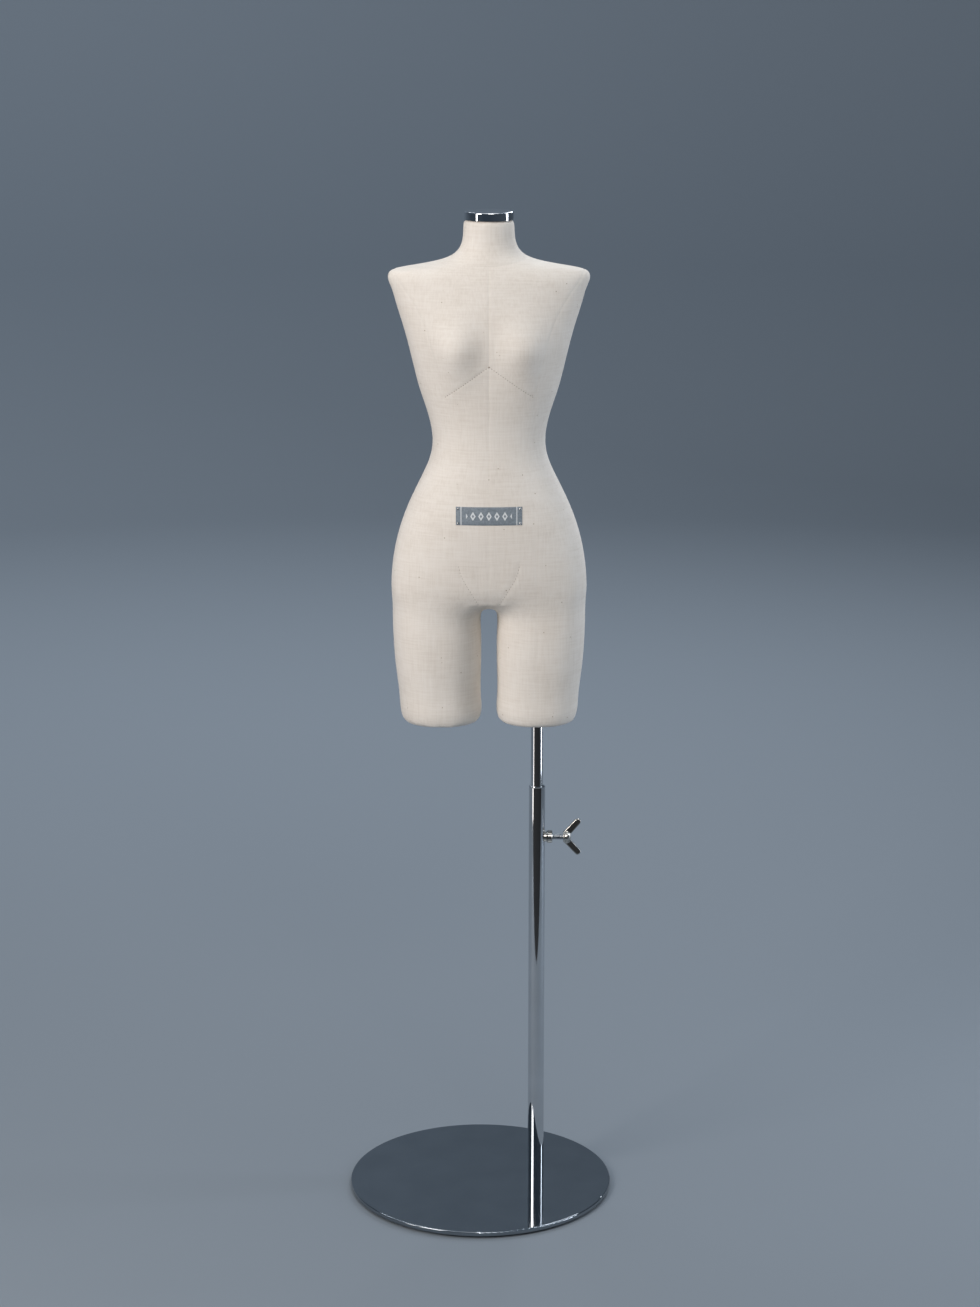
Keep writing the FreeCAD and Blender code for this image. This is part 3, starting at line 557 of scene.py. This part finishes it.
def clear_of(skin, names, gap, among):
    """Lifts the skin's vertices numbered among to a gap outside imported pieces."""
    joined = bmesh.new()
    for name in names:
        joined.from_mesh(nodes[name].data)
    tree = bvhtree.BVHTree.FromBMesh(joined)
    co = places(skin)
    for i in among:
        found, outward = tree.find_nearest(Vector(co[i]))[:2]
        if (Vector(co[i]) - found).dot(outward) < gap:
            co[i] = found + outward * gap
    joined.free()
    return co


in_arch = np.flatnonzero((near_crotch > 0.02) & (np.abs(x) < ARCH_HALF_WIDTH))
for rounds in (4, 2, 0):
    eased = clear_of(skin, ["shell_front", "shell_back"], SHELL_COVERED, in_arch)
    set_places(skin, relaxed(eased, edges, near_crotch, rounds))


def evaluated_skin(source):
    """The mesh that an object's modifiers give, as a bmesh."""
    bpy.context.view_layer.update()
    evaluated = source.evaluated_get(bpy.context.evaluated_depsgraph_get())
    made = bmesh.new()
    made.from_mesh(evaluated.to_mesh())
    return made


def loose_object(skin):
    """A helper object that holds a copy of a bmesh."""
    mesh = bpy.data.meshes.new("helper")
    skin.to_mesh(mesh)
    made = bpy.data.objects.new("helper", mesh)
    bpy.context.scene.collection.objects.link(made)
    return made


CLOTH_PRESSURE = 8.0
CLOTH_FRAMES = 12
MOST_GROWTH = 0.0009
SEAM_HELD = 0.004


def blown_up(skin, pinned, pressure, frames, most):
    """Runs the skin as cloth under inner pressure, held where pinned, and caps how far it moves."""
    source = loose_object(skin)
    group = source.vertex_groups.new(name="held")
    for index, weight in enumerate(pinned):
        if weight > 0.02:
            group.add([index], float(weight), "REPLACE")
    cloth = source.modifiers.new("cloth", "CLOTH")
    cloth.settings.quality = 4
    cloth.settings.mass = 0.002
    cloth.settings.tension_stiffness = 25.0
    cloth.settings.compression_stiffness = 25.0
    cloth.settings.shear_stiffness = 12.0
    cloth.settings.bending_stiffness = 1.5
    cloth.settings.use_pressure = True
    cloth.settings.uniform_pressure_force = pressure
    cloth.settings.vertex_group_mass = "held"
    cloth.settings.effector_weights.gravity = 0.0
    cloth.point_cache.frame_start = 1
    cloth.point_cache.frame_end = frames
    for frame_number in range(1, frames + 1):
        bpy.context.scene.frame_set(frame_number)
    grown = evaluated_skin(source)
    before = places(skin)
    step = places(grown) - before
    grown.free()
    bpy.data.objects.remove(source)
    bpy.context.scene.frame_set(1)
    length = np.linalg.norm(step, axis=1, keepdims=True)
    return before + step * np.minimum(1.0, most / np.maximum(length, 1e-9))


# Heights above the hem and distances from the centre front, as the cover is cut.
NECK_SEAM_FRONT = 0.441
NECK_SEAM_RISE = 0.17
UNDERBUST_TOP = 0.349
UNDERBUST_SLOPE = 0.031 / 0.043
HEM_FOLD = 0.0013
POLE_HOLE_RADIUS = 0.007
SIDE_SEAM_HEIGHTS = [-0.01, 0.13, 0.199, 0.27, 0.318, 0.336, 0.362, 0.381, 0.395, 0.409, 0.434, 0.5]
SIDE_SEAM_PLACES = [0.046, 0.046, 0.0425, 0.042, 0.043, 0.045, 0.053, 0.058, 0.064, 0.072, 0.091, 0.098]


def side_seam(height):
    """Distance of the side-front seam from the centre front, eased along the height."""
    shifts = [-0.01, -0.005, 0.0, 0.005, 0.01]
    return sum(np.interp(height + s, SIDE_SEAM_HEIGHTS, SIDE_SEAM_PLACES) for s in shifts) / len(shifts)


def neck_side(co):
    x, y, z = axes_of(co)
    return NECK_SEAM_FRONT + NECK_SEAM_RISE * np.hypot(x, 0.01) + 0.1 * y - z


def hole_side(co):
    return np.hypot(co[:, 0] - pole_x, co[:, 1] - pole_y) - POLE_HOLE_RADIUS


def end_side(co):
    return axes_of(co)[2] - HEM_FOLD


def middle_side(co):
    x, _, z = axes_of(co)
    return np.abs(x) - side_seam(z)


def front_side(co):
    return axes_of(co)[1]


def upper_side(co):
    x, _, z = axes_of(co)
    return UNDERBUST_TOP - UNDERBUST_SLOPE * np.abs(x) - z


def right_side(co):
    return -axes_of(co)[0]


x, y, z = axes_of(places(skin))
on_seam = np.minimum(np.abs(middle_side(places(skin))), np.abs(x))
on_seam = np.minimum(on_seam, np.abs(neck_side(places(skin))))
on_seam = np.minimum(on_seam, np.where(y < 0, np.abs(upper_side(places(skin))), 1.0))
pinned = bell(on_seam, SEAM_HELD)
pinned = np.maximum(pinned, (z < 0.012) | in_neck | (z > 0.44))
set_places(skin, blown_up(skin, pinned, CLOTH_PRESSURE, CLOTH_FRAMES, MOST_GROWTH))

# ---- Foam padding ----
# Soft foam sheet glued round the shell: a front, a back and a wrap round each thigh.
# It lies under the cover and is drawn 3.2 mm thick, the same all over.


def cut_along(skin, panel, value_of, among, inner, outer):
    """Cuts the faces numbered among where value_of crosses zero, and numbers the two sides."""
    near_end = 0.18
    faces = [f for f in skin.faces if f[panel] == among]
    edges = [e for e in skin.edges if any(f[panel] == among for f in e.link_faces)]
    verts = [v for v in skin.verts if any(f[panel] == among for f in v.link_faces)]
    value = dict(zip(verts, value_of(np.array([v.co for v in verts]))))
    for edge in edges:
        a, b = edge.verts
        if value[a] * value[b] < 0:
            share = value[a] / (value[a] - value[b])
            if not near_end < share < 1 - near_end:
                near = a if share <= near_end else b
                near.co = a.co.lerp(b.co, share)
                value[near] = 0.0
    for edge in edges:
        a, b = edge.verts
        if value[a] * value[b] < 0:
            added = bmesh.utils.edge_split(edge, a, value[a] / (value[a] - value[b]))[1]
            value[added] = 0.0
    halves = []
    for face in faces:
        line = [v for v in face.verts if value[v] == 0.0]
        if len(line) == 2 and not any(line[1] in e.verts for e in line[0].link_edges):
            halves.append(bmesh.utils.face_split(face, line[0], line[1])[0])
    for face in faces + halves:
        face[panel] = inner if sum(value[v] for v in face.verts) < 0 else outer


def cut_into(skin, cuts, parts):
    """Makes a list of cuts, each (field, part cut, inside, outside), and returns the face layer."""
    bmesh.ops.triangulate(skin, faces=skin.faces[:])
    panel = skin.faces.layers.int.new("panel")
    for value_of, among, inner, outer in cuts:
        cut_along(skin, panel, value_of, parts.index(among), parts.index(inner), parts.index(outer))
    return panel


def sheet_mesh(name, skin, panel, number, out, back, normals, material):
    """A closed thin piece over the faces of one panel, from out to back behind the skin."""
    faces = [[v.index for v in f.verts] for f in skin.faces if f[panel] == number]
    used = sorted({i for face in faces for i in face})
    local = {index: i for i, index in enumerate(used)}
    faces = [[local[i] for i in face] for face in faces]
    co = places(skin)[used]
    points = np.concatenate([co - out * normals[used], co - back * normals[used]])
    count = len(used)
    sides = {(a, b) for face in faces for a, b in zip(face, face[1:] + face[:1])}
    rim = [(b, a) for a, b in sorted(sides) if (b, a) not in sides]
    closed = faces + [[i + count for i in reversed(face)] for face in faces]
    closed += [(a, b, b + count, a + count) for a, b in rim]
    made = mesh_object(name, points.tolist(), closed, material)
    made.data.set_sharp_from_angle(angle=math.radians(55))
    return made


# Polyurethane foam: cream, full of small open cells, quite dull.
foam, tree, shader = new_material("polyurethane_foam")
cells = node(tree, "TexVoronoi", {"Scale": 1 / 0.0012}, Vector=object_space(tree)).outputs["Distance"]
tree.links.new(ramp(tree, cells, [(0.1, "E2D6AE"), (0.6, "C6B588")]), shader.inputs["Base Color"])
shader.inputs["Roughness"].default_value = 0.95
bump = node(tree, "Bump", {"Strength": 0.6, "Distance": 0.0003}, Height=cells)
tree.links.new(bump.outputs["Normal"], shader.inputs["Normal"])


BOARD_GAP = 0.0003


def thigh_side(co):
    return axes_of(co)[2] - crotch_height


def board_side(co):
    """Below zero up to a small gap over the thigh boards' upper face."""
    board_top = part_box("thigh_board_left")[1].z
    return co[:, 2] - (board_top + BOARD_GAP)


FOAM_OUT = 0.0018
FOAM_BACK = 0.005
FOAM_PARTS = ["whole", "below", "thighs", "trunk", "padding_front", "padding_back"]
FOAM_PARTS += ["padding_thigh_left", "padding_thigh_right"]
FOAM_CUTS = [
    (board_side, "whole", "below", "whole"),
    (thigh_side, "whole", "thighs", "trunk"),
    (front_side, "trunk", "padding_front", "padding_back"),
    (right_side, "thighs", "padding_thigh_right", "padding_thigh_left"),
]
foam_skin = skin.copy()
foam_panel = cut_into(foam_skin, FOAM_CUTS, FOAM_PARTS)
foam_normals = normals_of(foam_skin)
foam_skin.verts.index_update()
for name in PADDING_NODES:
    number = FOAM_PARTS.index(name)
    pad = sheet_mesh(name + "_foam", foam_skin, foam_panel, number, FOAM_OUT, FOAM_BACK, foam_normals, foam)
    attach(pad, "torso")
    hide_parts(name)
foam_skin.free()

# ---- Cotton cover: panels and seams ----
# Eleven panels of calico are seamed wrong side out, drawn over the foam and glued
# under the thighs. Each seam pulls in a fine valley with a soft swell beside it.

# Unbleached calico, plain woven: matt and warm, with slubs in both directions, a
# faint cloudiness and a few dark flecks of husk. Threads of 0.45 mm would not
# show, so the weave is drawn 1.1 mm and the slubs about 1.5 mm wide.
calico, tree, shader = new_material("calico_unbleached")
WEAVE = 0.0011
SLUB = 0.0015
space = object_space(tree)
normal = node(tree, "SeparateXYZ", Vector=node(tree, "NewGeometry").outputs["Normal"])
sideways = normal.outputs["X"]
facing_side = node(tree, "Math", {"operation": "MULTIPLY"}, _0=sideways, _1=sideways).outputs[0]


def ribs(tree, space, period, direction):
    """Even ribs across one axis with a given period in metres."""
    scale = 2 * math.pi / 20 / period
    wave = node(tree, "TexWave", {"Scale": scale, "bands_direction": direction}, Vector=space)
    return wave.outputs["Fac"]


def mixed(tree, share, first, second):
    """Two values mixed; share is a number or an output."""
    if isinstance(share, float):
        return node(tree, "Mix", {"Factor": share}, _2=first, _3=second).outputs[0]
    return node(tree, "Mix", _0=share, _2=first, _3=second).outputs[0]


warp = mixed(tree, facing_side, ribs(tree, space, WEAVE, "X"), ribs(tree, space, WEAVE, "Y"))
weft = ribs(tree, space, WEAVE, "Z")
weave = node(tree, "Math", {"operation": "MULTIPLY"}, _0=warp, _1=weft).outputs[0]
warp_slubs = noise_of(tree, object_space(tree, (1.0, 1.0, 0.07)), SLUB, 3.0)
weft_slubs = noise_of(tree, object_space(tree, (0.07, 0.07, 1.0)), SLUB, 3.0)
slubs = mixed(tree, 0.5, warp_slubs, weft_slubs)
cloudy = noise_of(tree, space, 0.03, 4.0)
tone = mixed(tree, 0.3, slubs, cloudy)
shade = ramp(tree, tone, [(0.36, "DDD5CA"), (0.5, "E5DED4"), (0.64, "EAE4DB")])
flecks = node(tree, "TexVoronoi", {"Scale": 1 / 0.011}, Vector=space).outputs["Distance"]
husk = remapped(tree, flecks, 0.03, 0.06, 1.0, 0.0)
tree.links.new(
    node(tree, "MixRGB", {"Color2": linear("A3937D")}, Fac=husk, Color1=shade).outputs["Color"],
    shader.inputs["Base Color"],
)
shader.inputs["Roughness"].default_value = 0.92
shader.inputs["Specular IOR Level"].default_value = 0.25
shader.inputs["Sheen Weight"].default_value = 0.12
shader.inputs["Sheen Roughness"].default_value = 0.6
cloth_height = mixed(tree, 0.6, weave, slubs)
bump = node(tree, "Bump", {"Strength": 0.55, "Distance": 0.0003}, Height=cloth_height)
tree.links.new(bump.outputs["Normal"], shader.inputs["Normal"])

helper = loose_object(skin)
finer = helper.modifiers.new("finer", "SUBSURF")
finer.levels = 1
finer.render_levels = 1
skin.free()
skin = evaluated_skin(helper)
bpy.data.objects.remove(helper)
HEM_HEIGHTS = [0.003, 0.012, 0.022]
share = np.interp(axes_of(places(skin))[2], HEM_HEIGHTS, [0.95, 0.9, 0.0])
set_places(skin, drawn_to_pieces(skin, COVER_NODES, share))

COVER_PARTS = ["whole", "pole_hole", "thigh_end", "middle", "side", "front", "back"]
COVER_PARTS += ["front_upper", "front_lower", "cover_neck"]
SEWN_IN_PAIRS = ["thigh_end", "side", "back", "front_upper", "front_lower"]
COVER_PARTS += [f"cover_{part}_{hand}" for part in SEWN_IN_PAIRS for hand in ("right", "left")]
COVER_CUTS = [
    (neck_side, "whole", "cover_neck", "whole"),
    (end_side, "whole", "thigh_end", "whole"),
    (hole_side, "thigh_end", "pole_hole", "thigh_end"),
    (middle_side, "whole", "middle", "side"),
    (front_side, "middle", "front", "back"),
    (upper_side, "front", "front_upper", "front_lower"),
]
COVER_CUTS += [(right_side, part, f"cover_{part}_right", f"cover_{part}_left") for part in SEWN_IN_PAIRS]
panel = cut_into(skin, COVER_CUTS, COVER_PARTS)
skin.verts.index_update()

SEAM_STEP = 0.0003
VALLEY_DEPTH = 0.00020
VALLEY_WIDTH = 0.0009
SWELL_HEIGHT = 0.00004
SWELL_PLACE = 0.0032
SWELL_WIDTH = 0.0013
seam_points = []
for edge in skin.edges:
    if len({f[panel] for f in edge.link_faces}) > 1:
        a, b = (v.co for v in edge.verts)
        steps = max(1, math.ceil((b - a).length / SEAM_STEP))
        seam_points += [a.lerp(b, i / steps) for i in range(steps)]
seams = kdtree.KDTree(len(seam_points))
for i, point in enumerate(seam_points):
    seams.insert(point, i)
seams.balance()

co = places(skin)
normals = normals_of(skin)
x, y, z = axes_of(co)
to_seam = np.array([seams.find(v.co)[2] for v in skin.verts])
strong = np.interp(z, [0.26, 0.33], [0.35, 1.0])
valley = VALLEY_DEPTH * bell(to_seam, VALLEY_WIDTH)
valley -= SWELL_HEIGHT * bell(to_seam - SWELL_PLACE, SWELL_WIDTH)


def crease(across, up, path, width):
    """A soft line along a path of (across, up) points, on both sides of the front."""
    nearest = np.full(len(across), 1.0)
    for (ax, az), (bx, bz) in zip(path, path[1:]):
        length = (bx - ax) ** 2 + (bz - az) ** 2
        share = np.clip(((np.abs(across) - ax) * (bx - ax) + (up - az) * (bz - az)) / length, 0, 1)
        distance = np.hypot(np.abs(across) - ax - share * (bx - ax), up - az - share * (bz - az))
        nearest = np.minimum(nearest, distance)
    return bell(nearest, width)


# The cover is caught down with a hand-sewn line along each groin, and strains to it.
GROIN = [(0.0100, 0.122), (0.0150, 0.131), (0.0215, 0.142), (0.0268, 0.152), (0.0290, 0.163)]
STRAIN = [(0.0095, 0.128), (0.0098, 0.160)]
front = y < -0.01
GROIN_DEPTH = 0.00030
GROIN_WIDTH = 0.0022
STRAIN_DEPTH = 0.00015
STRAIN_WIDTH = 0.0026
folds = GROIN_DEPTH * crease(x, z, GROIN, GROIN_WIDTH) + STRAIN_DEPTH * crease(x, z, STRAIN, STRAIN_WIDTH)
press = valley * strong + front * folds
co = co - normals * press[:, None]
WANDER = 0.0011
WANDER_PER_METRE = 90.0
WANDER_HEIGHT = 0.012
near_hem = np.clip(1 - z / WANDER_HEIGHT, 0, 1) * (z > HEM_FOLD / 2)
wander = np.array([noise.noise(Vector(p) * WANDER_PER_METRE) for p in co]) * near_hem
left_more = np.where(x < 0, 1.3, 0.8)
co[:, 2] += WANDER * wander * left_more
set_places(skin, co)
normals = normals_of(skin)

COVER_THICKNESS = 0.0008
for number, name in enumerate(COVER_PARTS):
    if not name.startswith("cover_"):
        continue
    piece = sheet_mesh(name + "_calico", skin, panel, number, 0.0, COVER_THICKNESS, normals, calico)
    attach(piece, "torso")
    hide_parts(name)

# ---- Stitches ----
# Linen thread, in small back stitches along the underbust seam and the groins, with
# a knot where the underbust seam meets the centre front.
skin_tree = bvhtree.BVHTree.FromBMesh(skin)

# Linen thread: greyed by handling, twisted, so that it is not one even colour.
thread, tree, shader = new_material("linen_thread_twisted")
twist = noise_of(tree, object_space(tree), 0.0004, 2.0)
tree.links.new(ramp(tree, twist, [(0.3, "8C8174"), (0.7, "AA9F92")]), shader.inputs["Base Color"])
shader.inputs["Roughness"].default_value = 0.75


def on_front(across, up):
    """The cover's point and outward direction in front, at a distance from the centre and a height."""
    start = Vector((CENTRE_X + across, CENTRE_Y - 0.3, HEM + up))
    place, direction = skin_tree.ray_cast(start, Vector((0, 1, 0)))[:2]
    return place, direction


def walked(path, step):
    """Points along a path of (across, up) points, one step apart."""
    made = []
    left = 0.0
    for (ax, az), (bx, bz) in zip(path, path[1:]):
        length = math.hypot(bx - ax, bz - az)
        while left < length:
            made.append((ax + (bx - ax) * left / length, az + (bz - az) * left / length))
            left += step
        left -= length
    return made


def bead(into, start, end, direction, radius):
    """A short tapered thread between two points, half sunk in the cloth."""
    along = (end - start).normalized()
    side = direction.cross(along).normalized()
    rings, around = 5, 8
    first = len(into[0])
    for ring in range(rings):
        share = ring / (rings - 1)
        arch = math.sin(math.pi * (0.12 + 0.76 * share))
        middle = start.lerp(end, share) + direction * radius * (arch - 0.75)
        for i in range(around):
            turn = 2 * math.pi * i / around
            into[0].append(middle + (side * math.cos(turn) + direction * math.sin(turn)) * radius * arch)
    for ring in range(rings - 1):
        for i in range(around):
            j = (i + 1) % around
            low, high = first + ring * around, first + (ring + 1) * around
            into[1].append((low + i, low + j, high + j, high + i))
    into[1].append(tuple(first + i for i in range(around))[::-1])
    into[1].append(tuple(first + (rings - 1) * around + i for i in range(around)))


def sewn(name, paths, step, share, radius):
    """A row of stitches along each path, one step apart, each share of a step long."""
    made = ([], [])
    for path in paths:
        for (ax, az), (bx, bz) in zip(walked(path, step), walked(path, step)[1:]):
            start, direction = on_front(ax, az)
            end = on_front(ax + (bx - ax) * share, az + (bz - az) * share)[0]
            bead(made, start, end, direction, radius)
    piece = mesh_object(name, made[0], made[1], thread)
    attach(piece, "torso")
    return piece


UNDERBUST = [(0.0, UNDERBUST_TOP), (0.043, UNDERBUST_TOP - 0.031)]
both = [[(side * a, u) for a, u in UNDERBUST] for side in (-1, 1)]
sewn("underbust_stitches", both, step=0.0026, share=0.5, radius=0.00028)
both = [[(side * a, u) for a, u in GROIN] for side in (-1, 1)]
sewn("groin_stitches", both, step=0.0030, share=0.45, radius=0.0002)
knot = ([], [])
for turn in range(3):
    middle, direction = on_front(0.0, UNDERBUST_TOP - 0.0002)
    reach = Vector((math.cos(turn * 2.1), 0, math.sin(turn * 2.1))) * 0.0007
    bead(knot, middle - reach + direction * 0.0002, middle + reach + direction * 0.0002, direction, 0.0005)
knot_piece = mesh_object("underbust_knot", knot[0], knot[1], thread)
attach(knot_piece, "torso")

# ---- Label ----
# A small woven label on the belly, held by four nickel pins. Its field is slate
# grey with a pale border line and a row of plain lozenges.
label_low, label_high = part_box("label")
LABEL_COLUMNS = 62
LABEL_ROWS = 17
LABEL_LIFTS = (0.0007, 0.0001)  # face and back, off the cover
LABEL_RIM_DROP = 0.00025
across = [label_low.x + (label_high.x - label_low.x) * i / LABEL_COLUMNS for i in range(LABEL_COLUMNS + 1)]
upward = [label_low.z + (label_high.z - label_low.z) * i / LABEL_ROWS for i in range(LABEL_ROWS + 1)]
points = []
for lift in LABEL_LIFTS:
    for column, px in enumerate(across):
        for row, pz in enumerate(upward):
            at_rim = min(column, LABEL_COLUMNS - column, row, LABEL_ROWS - row) == 0
            place, direction = on_front(px - CENTRE_X, pz - HEM)
            drop = LABEL_RIM_DROP if at_rim and lift == LABEL_LIFTS[0] else 0.0
            points.append(place + direction * (lift - drop))
rows = len(upward)
behind = len(across) * rows
faces = []
for column in range(LABEL_COLUMNS):
    for row in range(LABEL_ROWS):
        a = column * rows + row
        faces.append((a, a + rows, a + rows + 1, a + 1))
        faces.append((behind + a + 1, behind + a + rows + 1, behind + a + rows, behind + a))
last = LABEL_COLUMNS * rows
ring = list(range(0, last, rows)) + [last + row for row in range(LABEL_ROWS)]
ring += list(range(last + LABEL_ROWS, LABEL_ROWS, -rows)) + list(range(LABEL_ROWS, 0, -1))
faces += [(b, a, a + behind, b + behind) for a, b in zip(ring, ring[1:] + ring[:1])]

# Woven polyester: tight satin ribs across, a slight sheen, figures in pale weft.
label_cloth, tree, shader = new_material("woven_label_satin")
space = node(tree, "Mapping", {
    "Location": (-(label_low.x + label_high.x) / 2, 0.0, -(label_low.z + label_high.z) / 2),
}, Vector=node(tree, "TexCoord").outputs["Object"]).outputs["Vector"]
axis = node(tree, "SeparateXYZ", Vector=space)


def maths(tree, operation, *values):
    """A Math node; values are numbers or outputs."""
    made = node(tree, "Math", {"operation": operation})
    for socket, value in zip(made.inputs, values):
        if isinstance(value, (int, float)):
            socket.default_value = value
        else:
            tree.links.new(value, socket)
    return made.outputs[0]


LOZENGE_PITCH = 0.0075
LOZENGE_WIDE = 0.0026
LOZENGE_TALL = 0.0042
LOZENGE_HOLLOW = 0.42
ROW_END = 0.0215
BORDER_PLACE = 0.0262
BORDER_HALF_WIDTH = 0.0004
SATIN_RIB = 0.0007
off_x = maths(tree, "ABSOLUTE", axis.outputs["X"])
off_z = maths(tree, "ABSOLUTE", axis.outputs["Z"])
in_cell = maths(tree, "PINGPONG", axis.outputs["X"], LOZENGE_PITCH / 2)
part_wide = maths(tree, "DIVIDE", in_cell, LOZENGE_WIDE)
lozenge = maths(tree, "ADD", part_wide, maths(tree, "DIVIDE", off_z, LOZENGE_TALL))
within = maths(tree, "LESS_THAN", lozenge, 1.0)
inside = maths(tree, "MULTIPLY", within, maths(tree, "GREATER_THAN", lozenge, LOZENGE_HOLLOW))
inside = maths(tree, "MULTIPLY", inside, maths(tree, "LESS_THAN", off_x, ROW_END))
from_line = maths(tree, "ABSOLUTE", maths(tree, "SUBTRACT", off_x, BORDER_PLACE))
side_line = maths(tree, "LESS_THAN", from_line, BORDER_HALF_WIDTH)
figure = maths(tree, "MAXIMUM", inside, side_line)
ribbing = ribs(tree, space, SATIN_RIB, "X")
field = ramp(tree, noise_of(tree, space, 0.002, 4.0), [(0.3, "6E7982"), (0.7, "87929A")])
tree.links.new(
    node(tree, "MixRGB", {"Color2": linear("DCE0E2")}, Fac=figure, Color1=field).outputs["Color"],
    shader.inputs["Base Color"],
)
shader.inputs["Roughness"].default_value = 0.55
shader.inputs["Sheen Weight"].default_value = 0.15
raised = maths(tree, "ADD", ribbing, figure)
bump = node(tree, "Bump", {"Strength": 0.5, "Distance": 0.00015}, Height=raised)
tree.links.new(bump.outputs["Normal"], shader.inputs["Normal"])
label = mesh_object("label_woven", points, faces, label_cloth)
label.data.set_sharp_from_angle(angle=math.radians(60))
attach(label, "torso")
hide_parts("label")
pin_steel = plated("pin_steel_nickelled", [(0.0, "C2C2C0"), (1.0, "DCDCDA")], 0.08, 0.08, 0.1)
finish_with(["label_pins"], pin_steel)

# ---- Neck cap ----
# A spun steel cap, chromed, screwed down on the neck block over the cover's edge.
finish_with(["neck_cap"], chrome)

low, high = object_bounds()
